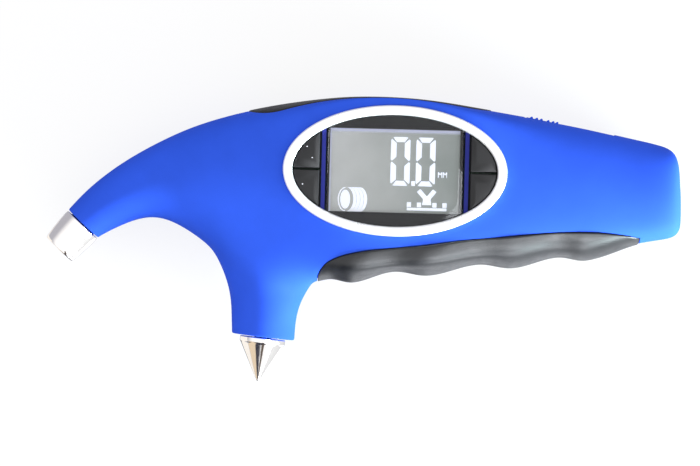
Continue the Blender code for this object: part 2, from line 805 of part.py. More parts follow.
def make_switch(name, x, y):
    """A tact switch: a square body with a smaller plunger standing on it."""
    bm = bmesh.new()
    low = PART_Z + BOARD_Z + BOARD_THICK + GAP
    width, body_height, plunger_height = 5.0, 1.4, 0.7
    bmesh.ops.create_cube(bm, size=1.0)
    bmesh.ops.scale(bm, vec=(width, width, body_height), verts=bm.verts)
    bmesh.ops.translate(bm, vec=(x, y, low + body_height / 2), verts=bm.verts)
    top = max(bm.faces, key=lambda face: face.calc_center_median().z)
    bmesh.ops.inset_region(bm, faces=[top], thickness=1.4)
    lifted = bmesh.ops.extrude_face_region(bm, geom=[top])
    bmesh.ops.delete(bm, geom=[top], context="FACES")
    raised = [item for item in lifted["geom"] if isinstance(item, bmesh.types.BMVert)]
    bmesh.ops.translate(bm, vec=(0, 0, plunger_height), verts=raised)
    mesh_object(name, bm, "black", smooth=False)


def make_nozzle():
    """The chuck, its seal and the pin that opens the tyre's valve. Heights run from the mouth."""
    reach = NOZZLE_REACH - GAP
    turned(
        "nozzle_body",
        [
            (SOCKET_R, 0.0), (SOCKET_R, SOCKET_DEPTH), (AIR_BORE_R, SOCKET_DEPTH),
            (AIR_BORE_R, SPIGOT_END), (SPIGOT_R, SPIGOT_END), (SPIGOT_R, reach), (6.0, reach),
            (6.05, 8.0), (5.75, 3.0), (5.4, 0.5), (5.1, 0.0),
        ],
        NOZZLE_MOUTH, NOZZLE_AXIS, "chrome", steps=24, closed=True,
    )
    turned(
        "nozzle_seal",
        [(2.0, 5.6), (2.0, 7.6), (3.8, 7.6), (3.8, 5.6)],
        NOZZLE_MOUTH, NOZZLE_AXIS, "rubber", steps=20, closed=True,
    )
    turned(
        "valve_pin",
        [(0, 14.0), (PIN_R, 14.0), (PIN_R, 5.2), (0.7, 4.6), (0, 4.6)],
        NOZZLE_MOUTH, NOZZLE_AXIS, "steel", steps=12,
    )
    hose_start = NOZZLE_MOUTH + NOZZLE_AXIS * (SPIGOT_END + 0.4)
    tube(
        "air_tube",
        [
            hose_start, hose_start + NOZZLE_AXIS * 2, (-77.5, -5.6, PART_Z + 0.8),
            (-68.0, -1.0, PART_Z + 3.0), (-58.0, 1.4, PART_Z + 5.2),
            (-51.2, 1.5, PART_Z + 5.5),
        ],
        HOSE_R, "clear",
    )
    sensor = block(
        "pressure_sensor", (-45.5, -2.5, PART_Z + 2.5), (-38.5, 5.0, PART_Z + 8.5), "black"
    )
    port = rod("sensor_port", (-50.7, 1.5, PART_Z + 5.5), (-44, 1.5, PART_Z + 5.5), 1.6)
    join(sensor, port)


def make_hammer():
    """The point and its shank, with heights from the stem's end, and the insert that holds it."""
    turned(
        "hammer_tip",
        [
            (0, SHANK_LENGTH), (SHANK_R, SHANK_LENGTH), (SHANK_R, -GAP), (6.75, -GAP),
            (6.85, -0.6), (6.85, -1.9), (6.5, -2.3), (4.4, -5.9), (1.0, -12.2),
            (0.35, -13.2), (0, -13.4),
        ],
        STEM_CENTRE, STEM_AXIS, "chrome", steps=32,
    )
    turned(
        "hammer_insert",
        [(SHANK_R + GAP, 4.0), (SHANK_R + GAP, 18.0), (INSERT_R, 18.0), (INSERT_R, 4.0)],
        STEM_CENTRE, STEM_AXIS, "brass", steps=20, closed=True,
    )


def probe_rod(name, start, end, radius, finish=None, sides=20, origin=None):
    """A rod on the probe's line, between two places along X."""
    line = [Vector((x, PROBE_Y, PROBE_Z)) for x in (start, end)]
    return rod(name, *line, radius, finish, sides, origin)


def make_slider():
    """The ribbed knob, and the tongue through the slot that drives the probe's carriage."""
    profile = [(KNOB_START, -KNOB_THICK), (KNOB_START, 0.0)]
    rib_width, rib_height = RIB_SIZE
    for place in RIB_PLACES:
        start = KNOB_START + place - rib_width / 2
        profile += [
            (start, 0.0), (start, rib_height),
            (start + rib_width, rib_height), (start + rib_width, 0.0),
        ]
    end = KNOB_START + KNOB_LENGTH
    profile += [(end, 0.0), (end, -KNOB_THICK)]
    knob = prism("thumb_slider", profile, -KNOB_HALF_WIDTH, KNOB_HALF_WIDTH, "blue")
    tongue = block(
        "slider_tongue", (TONGUE_X - TONGUE_HALF, TONGUE_END, -1.2),
        (TONGUE_X + TONGUE_HALF, -1, 1.2),
    )
    join(on_track(knob), on_track(tongue))


def make_probe():
    """The carriage that the slider's tongue drives, the probe on it and the depth sensor."""
    along = Vector((math.cos(TRACK_SLOPE), -math.sin(TRACK_SLOPE), 0))
    across = Vector((math.sin(TRACK_SLOPE), math.cos(TRACK_SLOPE), 0))
    x = (TRACK_START + along * TONGUE_X - across * 6).x
    z = PART_Z
    origin = Vector((x, PROBE_Y, PROBE_Z))
    carriage = block(
        "probe_carriage", (x - FORK_HALF, -4.8, z + 2), (x + FORK_HALF, FORK_TOP, z + 4),
        "black", origin=origin,
    )
    saddle = block(
        "carriage_saddle", (x - SADDLE_HALF, -4.8, z + 3.5), (x + SADDLE_HALF, 0.8, z + 8.4)
    )
    fork = block(
        "carriage_fork", (x - FORK_HALF, 5.6, z - 2.2), (x + FORK_HALF, FORK_TOP, z + 3)
    )
    gate = block("fork_gate", (x - 2.6, 0, z - 8), (x + 2.6, 20, z + 1.6))
    join(carriage, saddle, fork)
    cut(carriage, gate, probe_rod("carriage_bore", x - 9, x + 9, PROBE_R + GAP))
    probe_rod("tread_probe", x - 4.5, PROBE_END, PROBE_R, "steel", 16, origin)
    bore, guide_r, guide_x = PROBE_R + GAP, 3.0, (73.8, 79.5)
    turned(
        "probe_guide",
        [(bore, guide_x[0]), (bore, guide_x[1]), (guide_r, guide_x[1]), (guide_r, guide_x[0])],
        (0, PROBE_Y, PROBE_Z), (1, 0, 0), "brass", steps=20, closed=True,
    )
    block("wiper_contact", (x - 4, -4.0, z + 8.7), (x + 4, 0.0, z + 9), "brass", origin=origin)
    block("depth_sensor_board", (36, -7.5, z + 9.3), (68, 3.5, z + 10.3), "board")
    tube(
        "sensor_flex_cable",
        [(31.3, -3, z + 8.8), (32.5, -3, z + 8.9), (34.5, -3, z + 9.6), (35.7, -3, z + 9.8)],
        WIRE_R, "flex", steps=2,
    )


def contact_plate(name, x, y_low, y_high):
    low = (x, y_low - PLATE_HALF, CELL_Z - PLATE_HALF)
    high = (x + PLATE_THICK, y_high + PLATE_HALF, CELL_Z + PLATE_HALF)
    block(name, low, high, "steel")


def make_power():
    """Two cells behind the door, their contacts and the leads to the board."""
    half = CELL_LENGTH / 2
    for name, y in CELL_Y.items():
        towards_nose = -1 if name == "upper" else 1
        turned(
            "battery_" + name,
            [
                (0, half), (CELL_NUB_R, half), (CELL_NUB_R, half - 0.9),
                (CELL_R - CELL_EDGE, half - 0.9), (CELL_R, half - 0.9 - CELL_EDGE),
                (CELL_R, CELL_EDGE - half), (CELL_R - CELL_EDGE, -half), (0, -half),
            ],
            (CELL_X + half, y, CELL_Z), (towards_nose, 0, 0), "cell",
        )
    start, end = CELL_X - GAP, CELL_X + CELL_LENGTH + GAP
    upper, lower = CELL_Y["upper"], CELL_Y["lower"]
    contact_plate("battery_bridge_plate", end, lower, upper)
    contact_plate("positive_terminal", start - PLATE_THICK, upper, upper)
    points_round = 10
    count = COIL_TURNS * points_round
    coil = []
    for k in range(count + 1):
        share = k / count
        turn = math.tau * k / points_round
        radius = COIL_R - COIL_TAPER * share
        x = start - COIL_WIRE - COIL_LENGTH * (1 - share)
        coil.append((x, lower + radius * math.cos(turn), CELL_Z + radius * math.sin(turn)))
    tube("negative_spring", coil, COIL_WIRE, "steel", steps=1)
    z = PART_Z
    board = z + BOARD_Z - 0.4
    tube(
        "battery_lead_red",
        [(start - 1.2, 2, CELL_Z + 2), (25.5, 2, z), (24.5, 3, z + 4), (24, 4, board)],
        WIRE_R, "red",
    )
    x, y = start - COIL_LENGTH - 1.3, lower + 4
    tube(
        "battery_lead_black",
        [(x, y - 0.4, CELL_Z + 0.8), (21.5, y, z), (21, y, z + 4), (21, y, board)],
        WIRE_R, "rubber",
    )


def make_screws():
    for name, (x, y) in SCREWS.items():
        seat = screw_seat(x, y) - GAP / 2
        turned(
            "housing_screw_" + name,
            [
                (0, SCREW_TOP), (SCREW_R, SCREW_TOP - 1.0), (SCREW_R, seat),
                (SCREW_HEAD_R, seat), (SCREW_HEAD_R, seat - 0.9), (1.5, seat - 1.3),
                (0, seat - 1.3),
            ],
            (x, y, 0), (0, 0, 1), "steel", steps=16,
        )


clear_scene()
PIECES = new_collection("tyre_gauge")
CUTTERS = new_collection("cutters")
SURFACE = surface_of(body_form("body_guide", 0.0))
make_housing()
make_grip_and_pad()
make_display()
make_buttons()
make_nozzle()
make_hammer()
make_slider()
make_probe()
make_power()
make_screws()
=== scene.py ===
"""The looks of a hand-held digital tyre gauge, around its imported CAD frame.

Sizes are in millimetres, and MM turns them into Blender's metres. The housing's form is the
design's own, drawn finer here: the same sections, seam, recesses and oval as the frame's.
"""

import math

import bmesh
import bpy
from mathutils import Matrix, Vector
from mathutils.bvhtree import BVHTree


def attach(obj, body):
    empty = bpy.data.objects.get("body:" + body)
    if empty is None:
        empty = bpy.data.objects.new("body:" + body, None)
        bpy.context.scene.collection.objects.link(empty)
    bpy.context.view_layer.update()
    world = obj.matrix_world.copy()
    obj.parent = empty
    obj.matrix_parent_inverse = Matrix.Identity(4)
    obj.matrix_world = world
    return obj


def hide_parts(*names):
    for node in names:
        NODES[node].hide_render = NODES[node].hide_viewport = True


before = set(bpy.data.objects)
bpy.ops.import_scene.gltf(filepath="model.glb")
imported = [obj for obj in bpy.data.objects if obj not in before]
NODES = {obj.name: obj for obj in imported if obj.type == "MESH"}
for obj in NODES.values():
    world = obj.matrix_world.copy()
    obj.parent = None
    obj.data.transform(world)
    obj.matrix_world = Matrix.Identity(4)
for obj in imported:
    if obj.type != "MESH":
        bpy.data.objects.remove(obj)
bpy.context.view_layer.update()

MM = 0.001

# ---- Housing, as in the frame ----
PART_Z = 15.0  # height of the parting plane
SEAM = 0.3
GAP = 0.3
LIP = 0.15  # gap round a rubber piece
WALL = 3.0
REST_WALL = 2.2
ROWS = 12
FORM_LEVEL, CAVITY_LEVEL, CORE_LEVEL = 3, 2, 4
FIT_ROUNDS = 3
END_SWELL = 1.047
EDGE = 0.8
SLAB_REACH = 130

# Body stations from nose to tail: top point, bottom point, depth each way from the parting
# plane, and the squareness of the upper and lower halves, where 2 is an ellipse.
STATIONS = (
    ((-97.5, -14.0), (-88.4, -22.2), 6.1, 2.0, 2.0),
    ((-90.5, -6.6), (-81.5, -18.3), 7.7, 2.0, 2.0),
    ((-80.5, 1.2), (-74.0, -15.8), 10.0, 2.05, 2.05),
    ((-68.0, 8.4), (-66.0, -16.9), 12.0, 2.1, 2.1),
    ((-56.0, 13.5), (-57.0, -22.4), 14.0, 2.3, 2.2),
    ((-40.0, 18.0), (-38.0, -29.0), 15.8, 3.0, 2.4),
    ((-22.0, 21.1), (-21.0, -33.2), 16.8, 5.5, 3.4),
    ((-8.0, 22.2), (-8.0, -31.0), 17.0, 8.0, 4.5),
    ((8.0, 21.75), (8.0, -29.2), 17.0, 8.0, 4.5),
    ((24.0, 19.65), (24.0, -27.4), 16.8, 5.5, 3.8),
    ((40.0, 17.2), (40.0, -25.5), 16.0, 3.4, 3.0),
    ((56.0, 14.6), (56.0, -23.5), 15.0, 2.9, 2.8),
    ((70.0, 11.8), (70.0, -20.5), 14.1, 2.8, 2.8),
    ((79.0, 9.9), (79.0, -18.7), 13.5, 2.8, 2.8),
    ((83.8, 7.4), (84.3, -17.3), 12.0, 2.7, 2.7),
    ((85.1, 2.8), (85.9, -14.5), 8.4, 2.4, 2.4),
)
STEM_FIRST, STEM_LAST = 4, 6
STEM_ROWS = (4, 8)
STEM = (
    ((-52.5, -27.4), (-24.5, -35.3), 12.0),
    ((-48.7, -36.5), (-27.2, -40.2), 10.4),
    ((-47.8, -44.5), (-28.4, -45.6), 9.9),
)
STEM_END = ((-47.6, -49.7), (-28.8, -51.5), 9.5)

# ---- Display ----
BOSS, BOSS_TOP = (33.0, 19.2), 17.3
OPENING = (31.3, 17.5)
POCKET, POCKET_Z = (32.3, 18.4), (5.1, 14.25)
BAY_Z = (12.5, 20)  # the openings for the window and the keys
RING_OUTER, RING_INNER = (33.4, 19.5), (30.5, 16.65)
RING_SEAT, RING_TOP = 16.3, 18.3
RIB_INNER, RIB_OUTER = 20.7, 21.9
BUTTON_X = 22.5
BUTTON_OVAL, FLANGE_OVAL = (30.2, 16.35), (31.8, 18.0)
# The edge of a key's cap: how far in, in sixths of the way to its middle, and how far down.
KEY_BROW = ((0.0, 0.45), (0.05, 0.25), (0.16, 0.1), (0.35, 0.02), (3.0, -0.05))
KEYS = {"upper_left": (-1, 1), "lower_left": (-1, -1), "upper_right": (1, 1),
        "lower_right": (1, -1)}
BUTTON_Z = (12.9, 13.6, 17.1)
LENS_OVAL, LENS_X, LENS_Z = (30.9, 17.1), 20.3, (15.2, 16.2)
LCD_TOP = 13.6
LENS_ROUNDING = 0.25
LENS_SHADE, LENS_SHADE_DEPTH = 1.02, 4  # where the painted shade under the lens reaches: its share of the ring's opening, and its depth
PAINTED_RIB_SHADE = (0.85, 0.32, 0.3)  # painted shade: how much of its colour a rib keeps under the lens, where the ring keeps the light off

# ---- Grip and top pad ----
GRIP_THICK, PAD_THICK = 1.2, 1.1
GRIP_ROUNDING, PAD_ROUNDING = 0.55, 0.6
PROUD = 0.2
WAVE_HEIGHT = 2.0
WAVE_TURNS = (-19.5, -11.4, 0.3, 11.1, 25.5, 36.3, 49.2, 58.5, 76.0)  # troughs and crests
GRIP_EDGE = (
    (-22.2, -31.6), (-21.0, -29.4), (-18.8, -27.3), (-14.5, -25.4), (-7.9, -23.9),
    (-1.3, -23.1), (8.2, -22.0), (20.2, -20.2), (29.2, -19.2), (40.0, -17.9),
    (50.0, -17.0), (60.0, -16.7), (68.0, -17.3), (73.6, -18.2),
)
PAD_X, PAD_HALF = (-44.3, 28.7), 11.2

# ---- Nozzle, hammer, probe and power ----
NOZZLE_MOUTH = Vector((-100.0, -25.9, PART_Z))
NOZZLE_AXIS = Vector((0.67, 0.743, 0.0)).normalized()
NOZZLE_REACH, SOCKET_R, SOCKET_DEPTH = 10.5, 4.2, 8.0
STEM_CENTRE = Vector((-38.2, -50.6, PART_Z))
STEM_AXIS = Vector((0.096, 0.995, 0.0)).normalized()
NOSE_HOLE_R, STEM_HOLE_R = 4.6, 3.0
TRACK_SLOPE = math.radians(10.3)
TRACK_START, TRACK_LENGTH = Vector((38.5, 17.35, PART_Z)), 27.6
TRACK_PLACE = Matrix.Translation(TRACK_START * MM) @ Matrix.Rotation(-TRACK_SLOPE, 4, "Z")
SLOT_MARGIN, SLOT_HALF_WIDTH = 3.3, 1.5
KNOB_START, KNOB_LENGTH, KNOB_HALF_WIDTH, KNOB_THICK = 0.5, 10.5, 4.0, 1.4
RIB_PLACES, RIB_SIZE = (1.6, 3.2, 4.6, 6.7, 8.2, 9.4), (0.75, 0.5)
PROBE, PROBE_HOLE_R = Vector((84.9, -2.0, PART_Z + 6.5)), 1.7
DOOR = ((26.0, -15.6), (76.0, 6.1))
GROOVES = 6
DOOR_TOP = PART_Z - 7
SCREWS = {
    "nose": (-66.0, -8.1),
    "crown": (-40.0, 9.0),
    "stem": (-38.0, -26.0),
    "track": (34.5, 10.0),
    "tail": (79.5, -11.0),
}
POST_R, PILOT_R, SCREW_R, SCREW_HEAD_R = 2.9, 1.5, 1.15, 2.3
SCREW_TOP = PART_Z + 6.5
SCREW_CROSS = (1.3, 0.25)
SCREW_COVER = 1.7  # wall left at each end of a screw's post

# ---- View ----
VIEW_CENTRE = (-12.9, -18.8)
VIEW_WIDTH, LENS_LENGTH, SENSOR = 210.0, 300.0, 36.0
VIEW_ROLL = math.radians(1.5)

# ---- Light ----
KEY_PLACE, KEY_AIM, KEY_SIZE = (300, -205, 66), (10, -10, 15), (240, 90)
KEY_POWER, KEY_COLOUR = 5.7, (0.8, 0.97, 1.0)
SIDE_LIGHT = (0.76, -0.62, 0.18)
TENT_TOP = (1.15, 1.15, 1.17)
DIM_SIDE, BRIGHT_SIDE = (0.5, 0.5, 0.56), (0.9, 0.92, 0.95)
FLOOR_GREY, FLOOR_GLOW = 0.2, 0.79
GRIP_AIM, HAMMER_AIM = Vector((20, -26, PART_Z + 10)), STEM_CENTRE - STEM_AXIS * 6

# Cards that reflections alone see: name, what each faces, its direction and distance from
# there, its size, and its light.
CARDS = (
    ("bright_top", GRIP_AIM, (0.36, -0.15, 0.92), 400, (150, 200), (9.5, 9.8, 10.3)),
    ("bright_slope", GRIP_AIM, (0.3, -0.66, 0.69), 400, (150, 240), (13.5, 13.9, 14.6)),
    ("bright_low", GRIP_AIM, (0.26, -0.96, 0.05), 400, (150, 260), (7.5, 7.7, 8.1)),
    ("bright_under", GRIP_AIM, (0.18, -0.6, -0.78), 400, (170, 260), (1.7, 1.75, 1.85)),
    ("shade_low", GRIP_AIM, (-0.42, -0.9, 0.0), 400, (340, 420), (0.05, 0.05, 0.07)),
    ("shade_under", GRIP_AIM, (-0.38, -0.55, -0.76), 400, (280, 300), (0.05, 0.05, 0.07)),
    ("dark_card", HAMMER_AIM, (0.0, -0.81, 0.57), 300, (55, 150), (0.12, 0.09, 0.07)),
    ("tan_card", HAMMER_AIM, (-0.7, -0.7, 0.15), 250, (150, 130), (0.85, 0.7, 0.52)),
    ("pale_card", HAMMER_AIM, (-0.86, -0.1, -0.45), 300, (330, 420), (1.04, 1.0, 0.95)),
)


# ---- Materials ----

NOISE_ROUGHNESS = 0.55


class Nodes:
    """A short way to wire up the nodes of a material, or of the world."""

    def __init__(self, name, world=False):
        self.owner = (bpy.data.worlds if world else bpy.data.materials).new(name)
        self.owner.use_nodes = True
        self.tree = self.owner.node_tree
        self.shader = self.tree.nodes["Background" if world else "Principled BSDF"]

    def fill(self, socket, value):
        """Links a socket to another one, or sets its number, vector or colour."""
        if isinstance(value, bpy.types.NodeSocket):
            self.tree.links.new(value, socket)
        elif isinstance(value, (int, float)):
            socket.default_value = value
        else:
            socket.default_value = (*value, 1.0)[: len(socket.default_value)]

    def fill_named(self, node, values):
        for key, value in values.items():
            self.fill(node.inputs[key.replace("_", " ")], value)

    def add(self, kind, **values):
        """A new node with its settings, and with values or sources for its inputs."""
        node = self.tree.nodes.new(kind)
        for key in [key for key in values if hasattr(node, key)]:
            setattr(node, key, values.pop(key))
        self.fill_named(node, values)
        return node

    def finish(self, **values):
        """Fills the shader's inputs, and gives back the material or the world."""
        self.fill_named(self.shader, values)
        return self.owner

    def math(self, operation, first, second, clamp=False):
        node = self.add("ShaderNodeMath", operation=operation, use_clamp=clamp)
        self.fill(node.inputs[0], first)
        self.fill(node.inputs[1], second)
        return node.outputs[0]

    def vector_math(self, operation, first, second=(0, 0, 0)):
        node = self.add("ShaderNodeVectorMath", operation=operation)
        self.fill(node.inputs[0], first)
        self.fill(node.inputs[1], second)
        return node.outputs

    def split(self, vector):
        """The x, y and z of a vector."""
        return self.add("ShaderNodeSeparateXYZ", Vector=vector).outputs

    def place(self, stretch=(1, 1, 1)):
        """Object coordinates, stretched along the axes."""
        place = self.add("ShaderNodeTexCoord").outputs["Object"]
        return self.add("ShaderNodeMapping", Vector=place, Scale=stretch).outputs["Vector"]

    def noise(self, size, detail=3.0, stretch=(1, 1, 1)):
        """A noise whose features are about size millimetres across."""
        node = self.add(
            "ShaderNodeTexNoise", Vector=self.place(stretch), Scale=1 / (size * MM),
            Detail=detail, Roughness=NOISE_ROUGHNESS,
        )
        return node.outputs["Fac"]

    def spread(self, value, low, high, start=0.3, end=0.7, way="LINEAR"):
        """Maps a value between start and end onto low to high."""
        node = self.add(
            "ShaderNodeMapRange", interpolation_type=way, Value=value, From_Min=start,
            From_Max=end, To_Min=low, To_Max=high,
        )
        return node.outputs["Result"]

    def mix(self, factor, first, second, blend="MIX"):
        node = self.add("ShaderNodeMix", data_type="RGBA", blend_type=blend)
        for index, value in ((0, factor), (6, first), (7, second)):
            self.fill(node.inputs[index], value)
        return node.outputs[2]

    def varied(self, shade, value, low, high):
        """The shade, times a value spread over low to high."""
        return self.mix(1.0, shade, self.spread(value, low, high), "MULTIPLY")

    def bump(self, height, distance, strength=0.5, **below):
        """A bump whose relief is distance millimetres."""
        node = self.add(
            "ShaderNodeBump", Height=height, Distance=distance * MM, Strength=strength, **below
        )
        return node.outputs["Normal"]

    def worn(self, colour, edge_colour, start=0.53, end=0.62):
        """The colour, going over to another on sharp outer edges."""
        sharpness = self.add("ShaderNodeNewGeometry").outputs["Pointiness"]
        factor = self.spread(sharpness, 0.0, 1.0, start, end)
        return self.mix(factor, colour, edge_colour)

    def painted_lens_shade(self, colour):
        """The colour, darkened by painted shade on the ribs under the lens, where the ring keeps
        the light off.
        """
        position = self.add("ShaderNodeNewGeometry").outputs["Position"]
        to_oval = [1 / (side * MM) for side in RING_INNER] + [0]
        scaled = self.vector_math("MULTIPLY", position, to_oval)["Vector"]
        reach = self.vector_math("LENGTH", scaled)["Value"]
        inside = self.math("LESS_THAN", reach, LENS_SHADE)
        lowest = (PART_Z + LENS_Z[0] - LENS_SHADE_DEPTH) * MM
        high = self.math("GREATER_THAN", self.split(position)["Z"], lowest)
        return self.mix(self.math("MULTIPLY", inside, high), colour, PAINTED_RIB_SHADE, "MULTIPLY")


def finish_material(name, colour, roughness, metallic=0.0, grain=0.3, relief=0.01,
                    variation=0.08, stretch=(1, 1, 1), edge=None, specular=0.5, ribs=False):
    """A surface with a fine grain, uneven gloss and slight changes of tone, and, where ribs is
    set, painted shade on the ribs under the lens.
    """
    nodes = Nodes(name)
    fine = nodes.noise(grain, 4.0, stretch)
    shade = nodes.varied(colour, nodes.noise(14.0), 1 - variation, 1 + variation)
    shade = nodes.varied(shade, fine, 1 - variation / 2, 1 + variation / 2)
    if edge:
        shade = nodes.worn(shade, edge)
    if ribs:
        # painted shade: the ribs under the lens are darkened where the ring keeps the light off
        shade = nodes.painted_lens_shade(shade)
    gloss = nodes.spread(nodes.noise(5.0), roughness * 0.86, roughness * 1.14)
    return nodes.finish(
        Base_Color=shade, Roughness=gloss, Metallic=metallic, Specular_IOR_Level=specular,
        Normal=nodes.bump(fine, relief),
    )


def rubber_material(name, colour, roughness, specular=0.5):
    """Moulded rubber with a fine cellular skin and dusty high spots."""
    nodes = Nodes(name)
    cells = nodes.add("ShaderNodeTexVoronoi", Vector=nodes.place(), Scale=1 / (0.45 * MM))
    cell_height = nodes.spread(cells.outputs["Distance"], 0.0, 1.0, 0.0, 0.6)
    broad = nodes.spread(nodes.noise(9.0), 0.0, 1.0)
    shade = nodes.mix(broad, colour, [c * 1.7 for c in colour])
    shade = nodes.worn(shade, [min(c * 3.5, 1) for c in colour], 0.52, 0.60)
    gloss = nodes.spread(nodes.noise(2.5), roughness * 0.85, roughness * 1.15)
    skin_bump = nodes.bump(cell_height, 0.03, 0.7)
    return nodes.finish(
        Base_Color=shade, Roughness=gloss, Specular_IOR_Level=specular,
        Normal=nodes.bump(nodes.noise(0.8), 0.03, 0.6, Normal=skin_bump),
    )


def lcd_material():
    """The display's grey ground: light at the left, dark at the right, with a glowing rim."""
    nodes = Nodes("lcd_ground")
    place = nodes.split(nodes.place((1 / MM,) * 3))
    across = nodes.spread(place["X"], 0.0, 1.0, -20.0, 20.0)
    cloud = nodes.spread(nodes.noise(11.0), -0.12, 0.12)
    drift = nodes.math("ADD", across, cloud, True)
    ground = nodes.mix(drift, (0.56, 0.56, 0.545), (0.28, 0.305, 0.285))
    top = nodes.spread(place["Y"], 0.0, 1.0, 11.1, 11.9)
    left = nodes.spread(place["X"], 1.0, 0.0, -19.4, -18.8)
    shade = nodes.mix(nodes.math("MAXIMUM", top, left, True), ground, (0.72, 0.74, 0.95))
    fine = nodes.noise(0.25, 2.0)
    shade = nodes.varied(shade, fine, 0.96, 1.04)
    return nodes.finish(
        Base_Color=shade, Emission_Color=shade, Emission_Strength=0.2,
        Specular_IOR_Level=0.2, Roughness=nodes.spread(fine, 0.3, 0.4),
    )


def segment_material():
    """The lit segments, white with a trace of violet."""
    nodes = Nodes("lcd_segment")
    tint = nodes.mix(nodes.noise(3.0), (0.86, 0.89, 1.0), (0.93, 0.94, 1.0))
    return nodes.finish(
        Base_Color=tint, Emission_Color=tint, Emission_Strength=0.45,
        Roughness=nodes.spread(nodes.noise(0.4), 0.4, 0.5),
    )


def lens_material():
    """Clear acrylic: see-through, with a reflection that grows at a slant."""
    nodes = Nodes("lens_acrylic")
    shine_roughness = nodes.spread(nodes.noise(6.0), 0.02, 0.05)
    ends = (
        nodes.add("ShaderNodeFresnel", IOR=1.36),
        nodes.add("ShaderNodeBsdfTransparent", Color=(0.97, 0.98, 0.985)),
        nodes.add("ShaderNodeBsdfGlossy", Roughness=shine_roughness),
    )
    both = nodes.add("ShaderNodeMixShader")
    for node, socket in zip(ends, both.inputs):
        nodes.fill(socket, node.outputs[0])
    nodes.fill(nodes.tree.nodes["Material Output"].inputs["Surface"], both.outputs[0])
    return nodes.owner


def board_material(name):
    """Solder mask over copper tracks."""
    nodes = Nodes(name)
    brick = nodes.add(
        "ShaderNodeTexBrick", Vector=nodes.place(), Scale=1 / (9.0 * MM), Mortar_Size=0.035
    )
    tracks = brick.outputs["Fac"]
    shade = nodes.mix(tracks, (0.006, 0.04, 0.02), (0.012, 0.08, 0.035))
    return nodes.finish(
        Base_Color=nodes.varied(shade, nodes.noise(4.0), 0.9, 1.1),
        Normal=nodes.bump(tracks, 0.05),
        Roughness=nodes.spread(nodes.noise(2.0), 0.3, 0.45),
    )


def cell_material():
    """A battery's jacket: a dark half and a copper-coloured half."""
    nodes = Nodes("cell_jacket")
    place = nodes.split(nodes.place((1 / MM,) * 3))
    band = nodes.spread(place["X"], 0.0, 1.0, 43.9, 44.1)
    shade = nodes.mix(band, (0.55, 0.3, 0.12), (0.02, 0.02, 0.022))
    return nodes.finish(
        Base_Color=nodes.varied(shade, nodes.noise(3.0), 0.92, 1.08),
        Roughness=nodes.spread(nodes.noise(1.5), 0.22, 0.32), Metallic=0.6,
    )


def glow_material(name, grey, colour, strength=1.0, roughness=0.5):
    """What the floor and the cards are made of: a plain light of its own."""
    return Nodes(name).finish(
        Base_Color=(grey,) * 3, Roughness=roughness, Specular_IOR_Level=0.0,
        Emission_Color=colour, Emission_Strength=strength,
    )


# the blue carries painted shade on its ribs under the lens (ribs=True)
BLUE = finish_material(
    "blue_soft_touch", (0.031, 0.102, 0.72), 0.6, grain=0.22, relief=0.006,
    variation=0.05, edge=(0.035, 0.13, 0.86), specular=0.02, ribs=True,
)
GRIP_RUBBER = rubber_material("grip_rubber", (0.003, 0.0033, 0.0045), 0.37, 0.5)
PAD_RUBBER = rubber_material("pad_rubber", (0.006, 0.006, 0.007), 0.5, 0.35)
SILVER = finish_material(
    "bezel_plate", (0.95, 0.955, 0.96), 0.3, 0.6, grain=0.5, relief=0.003, variation=0.02
)
CHROME = finish_material(
    "chrome_plate", (0.93, 0.90, 0.87), 0.09, 1.0, grain=0.6, relief=0.001,
    variation=0.03, stretch=(1, 4, 1), edge=(0.95, 0.92, 0.88),
)
BUTTON_BLACK = finish_material(
    "button_black", (0.008, 0.008, 0.009), 0.42, grain=0.18, relief=0.008,
    edge=(0.03, 0.03, 0.032), specular=0.3,
)
FRAME_BLACK = finish_material(
    "frame_black", (0.003, 0.003, 0.005), 0.3, grain=0.2, specular=0.1
)
STEEL = finish_material(
    "plain_steel", (0.6, 0.6, 0.62), 0.28, 1.0, grain=0.3, stretch=(1, 6, 1),
    edge=(0.8, 0.8, 0.8),
)
BRASS = finish_material("turned_brass", (0.78, 0.56, 0.24), 0.25, 1.0, grain=0.3)
PLASTIC = finish_material("black_moulding", (0.02, 0.02, 0.022), 0.45, grain=0.25)
DIFFUSER = finish_material("white_diffuser", (0.84, 0.86, 0.87), 0.5, grain=0.3)
HOSE = finish_material("silicone_hose", (0.7, 0.74, 0.74), 0.35, grain=0.8)
SEAL = rubber_material("seal_rubber", (0.02, 0.02, 0.02), 0.5)
FLEX = finish_material("polyimide_film", (0.55, 0.27, 0.05), 0.3, grain=0.4)
WIRE_RED = finish_material("wire_red", (0.55, 0.02, 0.02), 0.4)
WIRE_BLACK = finish_material("wire_black", (0.02, 0.02, 0.02), 0.4)
LCD = lcd_material()
SEGMENT = segment_material()
LENS = lens_material()
BOARD = board_material("solder_mask")
CELL = cell_material()


# ---- Meshes ----


def paint(mesh, material):
    mesh.materials.clear()
    mesh.materials.append(material)


def make_object(name, data, material=None):
    obj = bpy.data.objects.new(name, data)
    bpy.context.scene.collection.objects.link(obj)
    if material:
        paint(data, material)
    return obj


def mesh_of(name, bm):
    mesh = bpy.data.meshes.new(name)
    bm.to_mesh(mesh)
    bm.free()
    return mesh


def smoothed(mesh, sharp):
    """The mesh shaded smooth, but for edges sharper than an angle in degrees."""
    mesh.shade_smooth()
    mesh.set_sharp_from_angle(angle=math.radians(sharp))
    return mesh


def from_bmesh(name, bm, material=None, sharp=35):
    """An object from a bmesh in millimetres."""
    bmesh.ops.scale(bm, vec=(MM,) * 3, verts=bm.verts)
    bmesh.ops.recalc_face_normals(bm, faces=bm.faces)
    return make_object(name, smoothed(mesh_of(name, bm), sharp), material)


